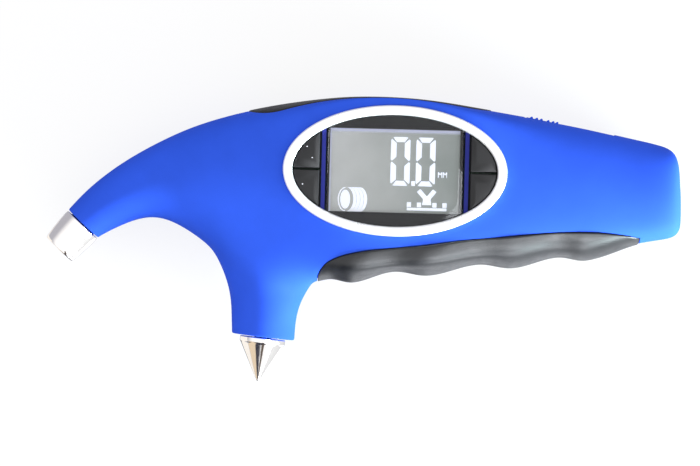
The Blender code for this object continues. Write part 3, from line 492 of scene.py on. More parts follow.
def settle(obj, sharp=35):
    """Applies an object's modifiers and its place to its mesh."""
    bpy.context.view_layer.update()
    graph = bpy.context.evaluated_depsgraph_get()
    mesh = bpy.data.meshes.new_from_object(obj.evaluated_get(graph))
    mesh.transform(obj.matrix_world)
    obj.modifiers.clear()
    obj.matrix_world = Matrix.Identity(4)
    obj.data = mesh
    smoothed(mesh, sharp)
    return obj


def drop(*objects):
    for obj in objects:
        bpy.data.objects.remove(obj, do_unlink=True)


def show(obj, body, slot, *nodes):
    """The piece rides on a body and stands for CAD nodes, which it hides. Its slot is not used.
    """
    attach(obj, body)
    if nodes:
        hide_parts(*nodes)
    return obj


def combine(target, operation, *tools):
    for tool in tools:
        change = target.modifiers.new(operation.lower(), "BOOLEAN")
        change.operation = operation
        change.object = tool
        change.solver = "EXACT"


def block(name, low, high):
    bm = bmesh.new()
    bmesh.ops.create_cube(bm, size=1.0)
    bmesh.ops.scale(bm, vec=Vector(high) - Vector(low), verts=bm.verts)
    bmesh.ops.translate(bm, vec=(Vector(low) + Vector(high)) / 2, verts=bm.verts)
    return from_bmesh(name, bm)


def slab(name, low, high=60):
    """A block wider than the gauge, between two heights."""
    return block(name, (-SLAB_REACH, -SLAB_REACH, low), (SLAB_REACH, SLAB_REACH, high))


def rod(name, start, end, radius, sides=48):
    start, end = Vector(start), Vector(end)
    bm = bmesh.new()
    bmesh.ops.create_cone(
        bm, cap_ends=True, segments=sides, radius1=radius, radius2=radius,
        depth=(end - start).length,
    )
    turn = (end - start).to_track_quat("Z", "Y").to_matrix()
    bmesh.ops.rotate(bm, cent=(0, 0, 0), matrix=turn, verts=bm.verts)
    bmesh.ops.translate(bm, vec=(start + end) / 2, verts=bm.verts)
    return from_bmesh(name, bm)


def turned(name, profile, rounding, place, axis, material, steps=96, closed=False):
    """A profile of (radius, height) points, with its corners rounded off, turned about an
    axis. It runs down its outer side."""
    mesh = bpy.data.meshes.new(name)
    profile = rounded_profile(profile, rounding)
    verts = [(radius * MM, 0.0, height * MM) for radius, height in profile]
    edges = [(i, i + 1) for i in range(len(verts) - 1)]
    if closed:
        edges.append((len(verts) - 1, 0))
    mesh.from_pydata(verts, edges, [])
    obj = make_object(name, mesh, material)
    obj.matrix_world = Matrix.Translation(Vector(place) * MM) @ (
        Vector(axis).to_track_quat("Z", "Y").to_matrix().to_4x4()
    )
    screw = obj.modifiers.new("turn", "SCREW")
    screw.steps = steps
    screw.render_steps = steps
    screw.use_merge_vertices = True
    screw.merge_threshold = 0.000001
    return settle(obj, 30)


def rounded_profile(points, radius, steps=4):
    """A profile whose inner corners are rounded off."""
    smooth = [points[0]]
    for before, corner, after in zip(points, points[1:], points[2:]):
        corner = Vector(corner)
        to_before = Vector(before) - corner
        to_after = Vector(after) - corner
        reach = min(radius, to_before.length * 0.45, to_after.length * 0.45)
        start = corner + to_before.normalized() * reach
        end = corner + to_after.normalized() * reach
        for k in range(steps + 1):
            t = k / steps
            smooth.append(tuple(start * (1 - t) ** 2 + corner * 2 * t * (1 - t) + end * t**2))
    smooth.append(points[-1])
    return smooth


def loft(name, rings, material=None, closed_loop=False, sharp=35):
    """A solid through rings of points with equal counts: capped, or joined end to end."""
    bm = bmesh.new()
    loops = [[bm.verts.new(point) for point in ring] for ring in rings]
    count = len(loops[0])
    pairs = list(zip(loops, loops[1:]))
    if closed_loop:
        pairs.append((loops[-1], loops[0]))
    for first, second in pairs:
        for i in range(count):
            j = (i + 1) % count
            bm.faces.new((first[i], first[j], second[j], second[i]))
    if not closed_loop:
        bm.faces.new(loops[0])
        bm.faces.new(loops[-1])
    return from_bmesh(name, bm, material, sharp)


def level(outline, z):
    return [(x, y, z) for x, y in outline]


def prism(name, outline, low, high, material=None):
    return loft(name, [level(outline, low), level(outline, high)], material)


def smooth_path(points, steps):
    """Points along a Catmull-Rom curve through the given ones."""
    points = [Vector(point) for point in points]
    ends = [2 * points[0] - points[1]] + points + [2 * points[-1] - points[-2]]
    path = []
    for i in range(1, len(ends) - 2):
        before, start, end, after = ends[i - 1 : i + 3]
        for k in range(steps):
            t = k / steps
            path.append(0.5 * (
                2 * start
                + (end - before) * t
                + (2 * before - 5 * start + 4 * end - after) * t**2
                + (3 * start - before - 3 * end + after) * t**3
            ))
    path.append(points[-1])
    return path


# ---- The housing's form ----


def squashed(value, power):
    value = round(value, 9)
    return math.copysign(abs(value) ** power, value)


def spine(first, second, inset):
    """The middle and the drawn-in half of a section's own line."""
    first, second = Vector(first), Vector(second)
    half = (first - second) / 2
    return (first + second) / 2, half * (1 - inset / half.length)


def body_section(station, inset):
    """The points round a station, from the top over the front to the back."""
    top, bottom, depth, upper, lower = station
    middle, half = spine(top, bottom, inset)
    points = []
    for row in range(ROWS):
        angle = math.pi / 2 - math.tau * row / ROWS
        power = 2 / (upper if math.sin(angle) > 0 else lower)
        place = middle + half * squashed(math.sin(angle), power)
        height = (depth - inset) * squashed(math.cos(angle), power)
        points.append(Vector((*place, PART_Z + height)))
    return points


def stem_section(section, inset):
    """The points round a stem section, from its left side over the front."""
    left, right, depth = section
    middle, half = spine(right, left, inset)
    points = []
    for row in range(ROWS):
        angle = math.pi - math.tau * row / ROWS
        place = middle + half * math.cos(angle)
        points.append(Vector((*place, PART_Z + (depth - inset) * math.sin(angle))))
    return points


def swollen(points, factor, shift):
    middle = sum(points, Vector()) / len(points)
    return [middle + (point - middle) * factor + shift for point in points]


def rounded_end(points, outward):
    """The rings that close a round end square, with a small rounded edge."""
    return (
        swollen(points, END_SWELL, -outward * EDGE),
        swollen(points, END_SWELL, Vector()),
        swollen(points, END_SWELL * 0.86, Vector()),
    )


def quads_between(bm, first, second, skip=()):
    for i in range(ROWS):
        if i not in skip:
            j = (i + 1) % ROWS
            bm.faces.new((first[i], first[j], second[j], second[i]))


def quad_cap(bm, ring, swell=Vector()):
    """Closes a ring of twelve points with a three by three patch."""
    middle = sum((vert.co for vert in ring), Vector()) / ROWS
    inner = [bm.verts.new(middle + (ring[k].co - middle) * 0.36 + swell) for k in (0, 3, 6, 9)]
    for quarter, near in enumerate(inner):
        corner, following = 3 * quarter, inner[(quarter + 1) % 4]
        bm.faces.new((ring[corner - 1], ring[corner], ring[corner + 1], near))
        bm.faces.new((near, ring[corner + 1], ring[(corner + 2) % ROWS], following))
    bm.faces.new(inner)
    return inner


def limit_point(vert):
    """Where Catmull-Clark subdivision takes a vertex of a quad cage in the end."""
    count = len(vert.link_edges)
    near = sum((edge.other_vert(vert).co for edge in vert.link_edges), Vector())
    far = sum((loop.link_loop_next.link_loop_next.vert.co for loop in vert.link_loops), Vector())
    return (count**2 * vert.co + 4 * near + far) / (count**2 + 5 * count)


def body_cage(inset):
    """The whole outer form drawn in by inset, as a cage that subdivides onto its sections."""
    bm = bmesh.new()
    design = {}

    def ring_of(points, fitted=True):
        verts = [bm.verts.new(point) if point else None for point in points]
        if fitted:
            design.update({vert: vert.co.copy() for vert in verts if vert})
        return verts

    outward = -NOZZLE_AXIS
    nose = swollen(body_section(STATIONS[0], inset), 1.0, -outward * inset)
    rings = [ring_of(points, False) for points in reversed(rounded_end(nose, outward))]
    quad_cap(bm, rings[0])
    first_station = len(rings) - 1
    low_row, high_row = STEM_ROWS
    for index, station in enumerate(STATIONS[1:], 1):
        points = body_section(station, inset)
        if index >= len(STATIONS) - 2:
            points = [point - Vector((inset, 0, 0)) for point in points]
        if STEM_FIRST < index < STEM_LAST:
            points[low_row + 1 : high_row] = [None] * (high_row - low_row - 1)
        rings.append(ring_of(points))
    for index in range(len(rings) - 1):
        at_stem = STEM_FIRST <= index - first_station < STEM_LAST
        skip = range(low_row, high_row) if at_stem else ()
        quads_between(bm, rings[index], rings[index + 1], skip)
    design.update(
        {vert: vert.co.copy() for vert in quad_cap(bm, rings[-1], Vector((0.3, 0, 0)))}
    )

    left, middle, right = rings[first_station + STEM_FIRST : first_station + STEM_LAST + 1]
    last = [
        left[6], left[5], left[4], middle[4], right[4], right[5],
        right[6], right[7], right[8], middle[8], left[8], left[7],
    ]
    for section in STEM:
        ring = ring_of(stem_section(section, inset))
        quads_between(bm, last, ring)
        last = ring
    end = swollen(stem_section(STEM_END, inset), 1.0, STEM_AXIS * inset)
    for points in rounded_end(end, -STEM_AXIS):
        ring = ring_of(points, False)
        quads_between(bm, last, ring)
        last = ring
    quad_cap(bm, last)

    bmesh.ops.recalc_face_normals(bm, faces=bm.faces)
    for _ in range(FIT_ROUNDS):
        moves = {vert: place - limit_point(vert) for vert, place in design.items()}
        for vert, move in moves.items():
            vert.co += move
    return bm


def body_form(name, inset, level, material=None):
    obj = from_bmesh(name, body_cage(inset), material)
    subdivide = obj.modifiers.new("form", "SUBSURF")
    subdivide.levels = level
    subdivide.render_levels = level
    return settle(obj)


def surface_of(form):
    """The form's surface in millimetres, for casting rays at."""
    bm = bmesh.new()
    bm.from_mesh(form.data)
    bmesh.ops.scale(bm, vec=(1 / MM,) * 3, verts=bm.verts)
    tree = BVHTree.FromBMesh(bm)
    bm.free()
    return tree


CORE = body_form("core", 0.0, CORE_LEVEL)
SURFACE = surface_of(CORE)
drop(CORE)


def skin(name, rays, inner, outer, material=None):
    """A closed layer on the housing between two heights over it. Each ray is a starting point,
    a direction, and how much the layer's outside swells there."""
    bm = bmesh.new()
    layers = ([], [])
    for row in rays:
        lines = ([], [])
        for start, direction, swell in row:
            hit = SURFACE.ray_cast(start, direction)[0]
            lines[0].append(bm.verts.new(hit + direction * inner))
            lines[1].append(bm.verts.new(hit + direction * (outer + swell)))
        layers[0].append(lines[0])
        layers[1].append(lines[1])
    below, above = layers
    last_row, last_column = len(rays) - 1, len(rays[0]) - 1
    for i in range(last_row):
        for j in range(last_column):
            for layer in layers:
                bm.faces.new((layer[i][j], layer[i + 1][j], layer[i + 1][j + 1], layer[i][j + 1]))
        for j in (0, last_column):
            bm.faces.new((below[i][j], above[i][j], above[i + 1][j], below[i + 1][j]))
    for j in range(last_column):
        for i in (0, last_row):
            bm.faces.new((below[i][j], above[i][j], above[i][j + 1], below[i][j + 1]))
    return from_bmesh(name, bm, material)


def wave(x):
    """How far the finger waves stand over the grip's base line at x."""
    for index, (start, end) in enumerate(zip(WAVE_TURNS, WAVE_TURNS[1:])):
        if x < end:
            rise = (1 - math.cos(math.pi * max(0.0, (x - start) / (end - start)))) / 2
            return WAVE_HEIGHT * (rise if index % 2 == 0 else 1 - rise)
    return 0.0


def eased(count, edge=0.02):
    """Shares from 0 to 1 that crowd together at both ends, where an edge is rounded."""
    near = [0, edge * 0.2, edge * 0.5, edge * 0.9, edge * 1.4]
    middle = [near[-1] + (1 - 2 * near[-1]) * k / count for k in range(1, count)]
    return near + middle + [1 - share for share in reversed(near)]


def edge_drop(distance, radius):
    """How far a rounded edge has fallen at this distance from it."""
    left = max(0.0, 1 - distance / radius)
    return radius * (1 - math.sqrt(max(0.0, 1 - left**2)))


def grip_rays(margin, columns=64, steps=22, rounding=0.0):
    """Rays fanned from the grip's edge line, round the underside from front to back."""
    path = smooth_path([(*point, 0.0) for point in GRIP_EDGE], steps)
    if margin:
        path[0] -= (path[1] - path[0]).normalized() * margin
        path[-1] += (path[-1] - path[-2]).normalized() * margin
    else:
        path.insert(1, path[0].lerp(path[1], 0.4))
        path.insert(-1, path[-1].lerp(path[-2], 0.4))
    shares = eased(columns, 0.014)
    rays = []
    for i, place in enumerate(path):
        along = (path[min(i + 1, len(path) - 1)] - path[max(i - 1, 0)]).normalized()
        place = place + Vector((-along.y, along.x, 0)) * margin
        start = Vector((place.x, place.y, PART_Z))
        to_end = min((place - path[0]).length, (place - path[-1]).length)
        row = []
        for share in shares:
            angle = math.pi * share
            direction = Vector((0, -math.sin(angle), math.cos(angle)))
            swell = wave(place.x) * max(0.0, math.sin(angle)) ** 0.5
            if rounding:
                depth = SURFACE.ray_cast(start, direction)[0] - start
                to_side = depth.length * math.pi * min(share, 1 - share)
                swell -= max(edge_drop(to_side, rounding), edge_drop(to_end, rounding))
            row.append((start, direction, swell))
        rays.append(row)
    return rays


def pad_rays(margin, columns=20, steps=14, rounding=0.0):
    """Rays up through the top ridge, inside the pad's round-ended outline."""
    low, high = PAD_X[0] - margin, PAD_X[1] + margin
    reach = PAD_HALF + margin
    ends = [reach * (1 - math.cos(math.pi / 2 * k / steps)) for k in range(1, steps + 1)]
    straight = [low + reach + (high - low - 2 * reach) * k / 50 for k in range(1, 50)]
    places = [low + end for end in ends] + straight + [high - end for end in reversed(ends)]
    rays = []
    for x in places:
        from_end = min(x - low, high - x, reach)
        half = math.sqrt(reach**2 - (reach - from_end) ** 2)
        row = []
        for share in eased(columns):
            offset = half * (2 * share - 1)
            to_end = reach - math.hypot(reach - from_end, offset)
            sink = edge_drop(max(to_end, 0.0), rounding) if rounding else 0.0
            row.append((Vector((x, 6.0, PART_Z + offset)), Vector((0, 1, 0)), -sink))
        rays.append(row)
    return rays


# ---- Outlines in the display's oval ----


def arc(axes, start, end, steps):
    """Points on an ellipse between two angles in degrees."""
    return [
        (
            axes[0] * math.cos(math.radians(start + (end - start) * k / steps)),
            axes[1] * math.sin(math.radians(start + (end - start) * k / steps)),
        )
        for k in range(steps + 1)
    ]


def angle_at(axes, x):
    return math.degrees(math.acos(x / axes[0]))


def oval(axes, steps=160):
    return arc(axes, 0, 360, steps)[:-1]


def middle_bay(axes, x, steps=48):
    edge = angle_at(axes, x)
    return arc(axes, edge, 180 - edge, steps) + arc(axes, 180 + edge, 360 - edge, steps)


def side_bay(axes, x, side, steps=64):
    edge = angle_at(axes, x)
    turn = 0 if side > 0 else 180
    return arc(axes, turn - edge, turn + edge, steps)


def quarter_bay(axes, x, y, side, upper, steps=40):
    """The part of an oval beyond x and beyond y, in one quarter, as a button has."""
    first = math.degrees(math.asin(y / axes[1]))
    points = arc(axes, first, angle_at(axes, x), steps) + [(x, y)]
    return [(side * across, upper * up) for across, up in points]


def shifted(points, x, y):
    return [(x + across, y + up) for across, up in points]


def grown(axes, amount):
    return (axes[0] + amount, axes[1] + amount)


# ---- Housing pieces ----


def screw_seat(x, y):
    hit = SURFACE.ray_cast(Vector((x, y, PART_Z)), Vector((0, 0, -1)))[0]
    return max(hit.z, 0.0) + SCREW_COVER


def track_box(name, start, end, low, high, half_width):
    box = block(name, (start, low, -half_width), (end, high, half_width))
    box.matrix_world = TRACK_PLACE
    return box


def shell(name, body, node, *steps):
    """A piece cut out of the whole form by steps of one operation and its tools."""
    form = body_form(name, 0.0, FORM_LEVEL, BLUE)
    for operation, *tools in steps:
        combine(form, operation, *tools)
    show(settle(form), body, "blue_shell", node)


def make_housing():
    cavity = body_form("cavity", WALL, CAVITY_LEVEL)
    floor = slab("cavity_floor", REST_WALL)
    combine(cavity, "INTERSECT", floor)
    settle(cavity)
    posts = {"front": [], "back": [], "pilot": [], "head": []}
    for name, (x, y) in SCREWS.items():
        seat = screw_seat(x, y)
        roof = SURFACE.ray_cast(Vector((x, y, PART_Z)), Vector((0, 0, 1)))[0].z
        spans = {
            "front": (PART_Z, roof - SCREW_COVER, POST_R),
            "back": (seat + 0.2, PART_Z, POST_R),
            "pilot": (seat - 5, SCREW_TOP + 1, PILOT_R),
            "head": (-20, seat, SCREW_HEAD_R + GAP),
        }
        for kind, (low, high, radius) in spans.items():
            posts[kind].append(rod(f"{kind}_{name}", (x, y, low), (x, y, high), radius, 32))
    shared = [
        skin("grip_recess", grip_rays(LIP, 40, 10), -GRIP_THICK - GAP, 4.0),
        skin("pad_recess", pad_rays(LIP), -PAD_THICK - GAP, 4.0),
        rod("nose_hole", NOZZLE_MOUTH, NOZZLE_MOUTH + NOZZLE_AXIS * 24, NOSE_HOLE_R),
        rod(
            "stem_hole", STEM_CENTRE - STEM_AXIS * 5, STEM_CENTRE + STEM_AXIS * 8,
            STEM_HOLE_R,
        ),
        track_box("channel", 0, TRACK_LENGTH, -KNOB_THICK - GAP, 5, KNOB_HALF_WIDTH + GAP),
        track_box("slot", SLOT_MARGIN, TRACK_LENGTH - SLOT_MARGIN, -6, 1, SLOT_HALF_WIDTH),
    ]
    front_half = slab("front_half", PART_Z + SEAM / 2)
    back_half = slab("back_half", 0.0, PART_Z - SEAM / 2)
    low, high = PART_Z + BAY_Z[0], PART_Z + BAY_Z[1]
    bays = [
        prism("display_pocket", oval(POCKET), *(PART_Z + z for z in POCKET_Z)),
        prism("ring_seat", oval(grown(RING_OUTER, 0.2)), PART_Z + RING_SEAT, high),
        prism("window_bay", middle_bay(OPENING, RIB_INNER), low, high),
        prism("left_bay", side_bay(OPENING, RIB_OUTER, -1), low, high),
        prism("right_bay", side_bay(OPENING, RIB_OUTER, 1), low, high),
        rod("probe_hole", PROBE - Vector((6, 0, 0)), PROBE + Vector((9, 0, 0)), PROBE_HOLE_R),
    ]
    boss = prism("boss_form", oval(BOSS), PART_Z + 8, PART_Z + BOSS_TOP)
    shell(
        "housing_front", "housing", "front_shell",
        ("UNION", boss), ("DIFFERENCE", cavity), ("UNION", *posts["front"]),
        ("DIFFERENCE", *posts["pilot"], *shared, *bays), ("INTERSECT", front_half),
    )
    (x0, y0), (x1, y1) = DOOR
    door_hole = rounded_block("door_hole", (x0 - LIP, y0 - LIP), (x1 + LIP, y1 + LIP))
    shell(
        "housing_back", "housing", "rear_shell",
        ("DIFFERENCE", cavity), ("UNION", *posts["back"]),
        ("DIFFERENCE", *posts["pilot"], *posts["head"], *shared, door_hole),
        ("INTERSECT", back_half),
    )
    outline = rounded_block("door_outline", *DOOR, DOOR_TOP - LIP)
    grooves = [
        block(f"groove_{k}", (x1 - 4.5 - 1.6 * k, -10.5, -3), (x1 - 3.9 - 1.6 * k, 1.5, 0.45))
        for k in range(GROOVES)
    ]
    shell(
        "door_panel", "door", "battery_door",
        ("DIFFERENCE", cavity), ("INTERSECT", outline, back_half), ("DIFFERENCE", *grooves),
    )
    drop(cavity, floor, boss, front_half, back_half, door_hole, outline, *grooves)
    drop(*shared, *bays, *(post for kind in posts.values() for post in kind))


def rounded_block(name, low, high, top=DOOR_TOP, radius=2.0):
    """An upright block with rounded corners, through the back."""
    outline = []
    left, right = low[0] + radius, high[0] - radius
    lower, upper = low[1] + radius, high[1] - radius
    centres = ((right, upper), (left, upper), (left, lower), (right, lower))
    for centre, turn in zip(centres, (0, 90, 180, 270)):
        outline += shifted(arc((radius, radius), turn, turn + 90, 6), *centre)
    return prism(name, outline, -5.0, top)


def make_rubber():
    rest = slab("grip_floor", 0)
    rays = grip_rays(0.0, rounding=GRIP_ROUNDING)
    grip = skin("grip_sleeve", rays, -GRIP_THICK, PROUD, GRIP_RUBBER)
    combine(grip, "INTERSECT", rest)
    show(settle(grip, 50), "housing", "grip_rubber", "finger_grip")
    drop(rest)
    pad = skin("ridge_pad", pad_rays(0.0, rounding=PAD_ROUNDING), -PAD_THICK, PROUD, PAD_RUBBER)
    show(pad, "housing", "ridge_pad", "top_pad")


# ---- Display pieces ----


def make_bezel():
    """The bright ring: a band with a rounded crown."""
    low, high = PART_Z + RING_SEAT + GAP / 2, PART_Z + RING_TOP
    width = RING_OUTER[0] - RING_INNER[0]
    brow, fall = 0.7, 0.75
    section = [(0.0, low), (0.0, high - fall)]
    for k in range(1, 8):
        turn = math.pi / 2 * k / 8
        section.append((brow * (1 - math.cos(turn)), high - fall * (1 - math.sin(turn))))
    section += [(0.75, high), (width * 0.5, high), (width - 0.5, high - 0.12)]
    section += [(width - 0.12, high - 0.4), (width, high - 0.8), (width, low)]
    rings = [level(oval(grown(RING_OUTER, -inward), 200), z) for inward, z in section]
    ring = loft("bezel_band", rings, SILVER, closed_loop=True, sharp=50)
    show(ring, "housing", "bezel_silver", "bezel_ring")


def make_lens():
    low, high = (PART_Z + z for z in LENS_Z)
    lens = prism("lens_plate", middle_bay(LENS_OVAL, LENS_X), low, high, LENS)
    bevel = lens.modifiers.new("rounding", "BEVEL")
    bevel.width = LENS_ROUNDING * MM
    bevel.segments = 3
    bevel.limit_method = "ANGLE"
    bevel.angle_limit = math.radians(40)
    show(settle(lens), "housing", "clear_lens", "display_window")


def make_keys():
    """Four D-shaped keys, each a cap with a softened brow on a wider foot."""
    low, step, top = (PART_Z + z for z in BUTTON_Z)
    for where, (side, upper) in KEYS.items():
        cap = quarter_bay(BUTTON_OVAL, BUTTON_X, 0.3, side, upper)
        foot = quarter_bay(FLANGE_OVAL, BUTTON_X - 0.3, 0.3, side, upper)
        middle = Vector((side * 26.0, upper * 6.0))
        rings = [level(foot, low), level(foot, step), level(cap, step + 0.05)]
        for inward, depth in KEY_BROW:
            share = inward / 6.0
            rings.append([(*Vector(point).lerp(middle, share), top - depth) for point in cap])
        key = loft("key_" + where, rings, BUTTON_BLACK)
        show(key, "button_" + where, "black_plastic", "button_" + where)
    marks = {"upper": ((-26.3, 6.6), (-24.7, 3.3)), "lower": ((-27.4, -4.6),)}
    for level_name, places in marks.items():
        dots = [
            flat_shape(f"{level_name}_dot_{k}", shifted(oval((0.2, 0.13), 20), x, y),
                       BUTTON_Z[2] + 0.03)
            for k, (x, y) in enumerate(places)
        ]
        mark = joined("key_mark_" + level_name, dots)
        show(mark, f"button_{level_name}_left", "white_plastic")


def flat_shape(name, outline, base=LCD_TOP + 0.02, thick=0.06):
    return prism(name, outline, PART_Z + base, PART_Z + base + thick, SEGMENT)


def joined(name, parts):
    """One object from several."""
    bm = bmesh.new()
    for part in parts:
        bm.from_mesh(part.data)
    obj = make_object(name, mesh_of(name, bm), SEGMENT)
    drop(*parts)
    return obj


def bar(ends, width):
    """The outline of a broad line between two points."""
    start, end = (Vector(point) for point in ends)
    along = (end - start).normalized()
    side = Vector((-along.y, along.x)) * width / 2
    return [start + side, end + side, end - side, start - side]


def digit_zero(name, left, bottom, width, height, stroke):
    """The six lit segments of a zero, wide outside and cut slanting where they meet."""
    gap, notch = 0.17, 0.45
    cap = [(gap + 0.5, 0.1), (gap + 0.9, 0.0), (width - gap - 0.9, 0.0),
           (width - gap - 0.5, 0.1), (width - stroke - gap * 0.4, stroke - 0.15),
           (stroke + gap * 0.4, stroke - 0.15)]
    half = height / 2 - gap
    side = [(0.0, gap + 0.75), (0.25, gap + 0.45), (stroke, stroke + gap),
            (stroke, half - stroke * notch * 1.6), (0.35, half), (0.0, half - 0.3)]
    parts = []
    for down in (False, True):
        for points, across in ((cap, False), (side, False), (side, True)):
            outline = [
                (width - x if across else x, height - y if down else y) for x, y in points
            ]
            parts.append(flat_shape(f"{name}_{len(parts)}", shifted(outline, left, bottom)))
    return joined(name, parts)


def stroke_shape(name, points, width):
    """A broad line through points, as display pictures have."""
    return [
        flat_shape(f"{name}_{k}", bar(ends, width))
        for k, ends in enumerate(zip(points, points[1:]))
    ]


def make_tyre_picture(x, y):
    """A tyre seen from the side: its face, its rim and a tread of four ribs."""
    rim = shifted(arc((2.2, 3.6), 90, 270, 24) + arc((1.9, 3.3), 270, 90, 24), x, y)
    parts = [
        flat_shape("tyre_face", shifted(oval((1.45, 2.8), 32), x, y)),
        flat_shape("tyre_rim", rim),
    ]
    first, last, ribs, groove = 0.25, 4.5, 4, 0.16
    step = (last - first) / ribs
    for k in range(ribs):
        start, end = first + step * k, first + step * (k + 1) - groove
        outline = shifted(arc((2.2, 3.6), 90, -90, 24), x + start, y)
        outline += shifted(arc((2.2, 3.6), -90, 90, 24), x + end, y)
        parts.append(flat_shape(f"tyre_rib_{k}", outline))
    return joined("tyre_picture", parts)


def make_lcd_picture():
    """What the display shows: 0.0, the unit, a tyre and a probe over a tread."""
    shown = [
        digit_zero("digit_units", -1.35, -4.35, 5.75, 14.5, 1.65),
        digit_zero("digit_tenths", 6.2, -4.35, 5.75, 14.5, 1.65),
        flat_shape("decimal_point", [(4.95, -4.3), (6.05, -4.3), (6.05, -2.9), (4.95, -2.9)]),
        make_tyre_picture(-14.6, -8.75),
    ]
    letters = []
    for k in range(2):
        letter = [(0, -1.6), (0, 0), (0.5, -0.7), (1.0, 0), (1.0, -1.6)]
        letters += stroke_shape(f"unit_{k}", shifted(letter, 12.95 + 1.45 * k, -0.1), 0.26)
    shown.append(joined("unit_letters", letters))
    probe = stroke_shape("arm_left", [(7.2, -5.6), (9.7, -8.4)], 1.35)
    probe += stroke_shape("arm_right", [(12.0, -5.6), (9.7, -8.4)], 1.35)
    body = [(8.3, -9.9), (8.6, -8.2), (9.7, -7.4), (10.8, -8.2), (11.1, -9.9)]
    probe.append(flat_shape("probe_body", body))
    shown.append(joined("probe_picture", probe))
    tread = []
    for k, x in enumerate((4.4, 7.4, 12.0, 15.0)):
        tread += stroke_shape(f"tread_block_{k}", [(x, -9.2), (x, -10.6)], 1.25)
    tread += stroke_shape("tread_base", [(3.8, -11.2), (15.6, -11.2)], 0.8)
    shown.append(joined("tread_picture", tread))
    for piece in shown:
        show(piece, "housing", "white_plastic")


# ---- Metal pieces ----


def make_nozzle():
    """The chuck. Heights run from its mouth into the body."""
    reach = NOZZLE_REACH - GAP
    outer = [
        (1.4, 22.0), (4.3, 22.0), (4.3, reach), (6.0, reach), (6.05, 8.6), (5.95, 6.2),
        (5.7, 3.2), (5.42, 0.9), (5.15, 0.0), (4.55, 0.0), (SOCKET_R, 0.5),
        (SOCKET_R, SOCKET_DEPTH), (1.4, SOCKET_DEPTH),
    ]
    chuck = turned("chuck", outer, 0.35, NOZZLE_MOUTH, NOZZLE_AXIS, CHROME, closed=True)
    show(chuck, "housing", "chrome_plate", "nozzle_body")
    washer = [(2.0, 7.6), (3.8, 7.6), (3.8, 5.6), (2.0, 5.6), (2.0, 7.5)]
    seal = turned("chuck_seal", washer, 0.3, NOZZLE_MOUTH, NOZZLE_AXIS, SEAL, 64, closed=True)
    show(seal, "housing", "seal_rubber", "nozzle_seal")


def make_hammer():
    """The point, its collar and its shank, with heights from the stem's end."""
    profile = [
        (0, 17.0), (2.5, 17.0), (2.5, -GAP), (6.7, -GAP), (6.85, -0.5), (6.85, -1.7),
        (6.5, -2.1), (6.35, -2.35), (4.4, -5.9), (1.0, -12.2), (0.35, -13.2), (0, -13.4),
    ]
    point = turned("hammer_point", profile, 0.25, STEM_CENTRE, STEM_AXIS, CHROME)
    show(point, "housing", "chrome_plate", "hammer_tip")


def make_thumb_slide():
    """The knob: a plate with rounded ribs, and the tongue that reaches the carriage."""
    outline = [(KNOB_START, -KNOB_THICK), (KNOB_START, -0.15), (KNOB_START + 0.15, 0.0)]
    rib_width, rib_height = RIB_SIZE
    for place in RIB_PLACES:
        centre = KNOB_START + place
        outline.append((centre - rib_width / 2, 0.0))
        for k in range(9):
            turn = math.pi * (1 - k / 8)
            along = centre + rib_width / 2 * math.cos(turn) * 0.94
            outline.append((along, 0.12 + (rib_height - 0.12) * math.sin(turn)))
        outline.append((centre + rib_width / 2, 0.0))
    end = KNOB_START + KNOB_LENGTH
    outline += [(end - 0.15, 0.0), (end, -0.15), (end, -KNOB_THICK)]
    knob = prism("slide_knob", outline, -KNOB_HALF_WIDTH, KNOB_HALF_WIDTH, BLUE)
    knob.matrix_world = TRACK_PLACE
    middle = KNOB_START + KNOB_LENGTH / 2
    tongue = track_box("tongue", middle - 1.5, middle + 1.5, -8.4, -1, 1.2)
    combine(knob, "UNION", tongue)
    show(settle(knob), "slider", "blue_shell", "thumb_slider")
    drop(tongue)


def make_screws():
    """Screws with a rounded pan head and a cross recess."""
    for name, (x, y) in SCREWS.items():
        seat = screw_seat(x, y) - GAP / 2
        profile = [
            (0, SCREW_TOP), (SCREW_R, SCREW_TOP - 1.0), (SCREW_R, seat), (SCREW_HEAD_R, seat),
            (SCREW_HEAD_R, seat - 0.8), (1.4, seat - 1.25), (0, seat - 1.3),
        ]
        screw = turned("screw_" + name, profile, 0.3, (x, y, 0), (0, 0, 1), STEEL, 48)
        low, high = seat - 2, seat - 0.5
        slots = [
            block("cross", (x - along, y - across, low), (x + along, y + across, high))
            for along, across in (SCREW_CROSS, SCREW_CROSS[::-1])
        ]
        combine(screw, "DIFFERENCE", *slots)
        show(settle(screw), "housing", "steel", "housing_screw_" + name)
        drop(*slots)


# ---- CAD nodes that stay ----


def finish_nodes():
    finishes = {
        "display_frame": FRAME_BLACK, "lcd_panel": LCD, "lcd_backlight": DIFFUSER,
        "lcd_contact_strip": SEAL, "main_circuit_board": BOARD, "pressure_sensor": PLASTIC,
        "air_tube": HOSE, "valve_pin": STEEL, "hammer_insert": BRASS,
        "probe_carriage": PLASTIC, "tread_probe": STEEL, "probe_guide": BRASS,
        "depth_sensor_board": BOARD, "wiper_contact": BRASS, "sensor_flex_cable": FLEX,
        "battery_upper": CELL, "battery_lower": CELL, "battery_bridge_plate": STEEL,
        "positive_terminal": STEEL, "negative_spring": STEEL,
        "battery_lead_red": WIRE_RED, "battery_lead_black": WIRE_BLACK,
    }
    finishes.update({"tact_switch_" + where: PLASTIC for where in KEYS})
    for name, material in finishes.items():
        paint(NODES[name].data, material)


# ---- Stage, lights and camera ----


def sheet(name, size, material):
    bm = bmesh.new()
    bmesh.ops.create_grid(bm, x_segments=1, y_segments=1, size=0.5)
    bmesh.ops.scale(bm, vec=(*size, 1), verts=bm.verts)
    return from_bmesh(name, bm, material)


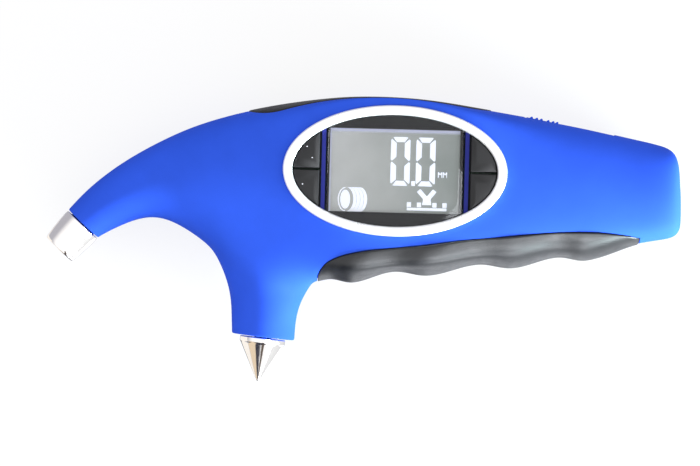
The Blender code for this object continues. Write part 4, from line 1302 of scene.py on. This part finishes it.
def make_stage():
    """A white sweep that only the camera sees. What it would reflect comes from the world."""
    material = glow_material("pale_floor", FLOOR_GREY, (1, 1, 1), FLOOR_GLOW, 0.8)
    floor = sheet("floor", (5000, 5000), material)
    floor.location.z = -0.05 * MM
    floor.visible_diffuse = False
    floor.visible_glossy = False


def reflector(name, target, direction, distance, size, colour):
    """A card that only reflections see, facing the target from a direction."""
    direction = Vector(direction).normalized()
    card = sheet(name, size, glow_material(name, 0.0, colour))
    turn = (-direction).to_track_quat("-Z", "Y").to_matrix().to_4x4()
    card.matrix_world = Matrix.Translation((Vector(target) + direction * distance) * MM) @ turn
    card.visible_camera = False
    card.visible_diffuse = False
    card.visible_shadow = False


def key_light():
    data = bpy.data.lights.new("key", "AREA")
    data.shape = "RECTANGLE"
    data.size, data.size_y = (side * MM for side in KEY_SIZE)
    data.energy, data.color = KEY_POWER, KEY_COLOUR
    light = make_object("key", data)
    light.location = Vector(KEY_PLACE) * MM
    aim = Vector(KEY_AIM) - Vector(KEY_PLACE)
    light.rotation_euler = aim.to_track_quat("-Z", "Y").to_euler()


def make_world():
    """A light tent: white above, bright low down on the right, dim low down on the left."""
    nodes = Nodes("tent", world=True)
    direction = nodes.add("ShaderNodeTexCoord").outputs["Generated"]
    aim = nodes.vector_math("DOT_PRODUCT", direction, SIDE_LIGHT)["Value"]
    sideways = nodes.spread(aim, 0, 1, -0.5, 0.95, "SMOOTHSTEP")
    side = nodes.mix(sideways, DIM_SIDE, BRIGHT_SIDE)
    upwards = nodes.spread(nodes.split(direction)["Z"], 0, 1, 0.05, 0.75, "SMOOTHSTEP")
    sky = nodes.mix(upwards, side, TENT_TOP)
    bpy.context.scene.world = nodes.finish(Color=sky, Strength=1.0)


def make_light():
    bpy.context.scene.view_settings.view_transform = "Standard"
    make_world()
    key_light()
    for card in CARDS:
        reflector(*card)


def make_camera():
    data = bpy.data.cameras.new("camera")
    data.lens = LENS_LENGTH
    data.sensor_width = SENSOR
    data.clip_start = 0.01
    camera = make_object("camera", data)
    distance = VIEW_WIDTH * LENS_LENGTH / SENSOR
    camera.location = Vector((*VIEW_CENTRE, PART_Z + distance)) * MM
    camera.rotation_euler = (0, 0, VIEW_ROLL)
    bpy.context.scene.camera = camera


make_camera()
make_light()
make_stage()
make_housing()
make_rubber()
make_bezel()
make_lens()
make_keys()
make_lcd_picture()
make_nozzle()
make_hammer()
make_thumb_slide()
make_screws()
finish_nodes()
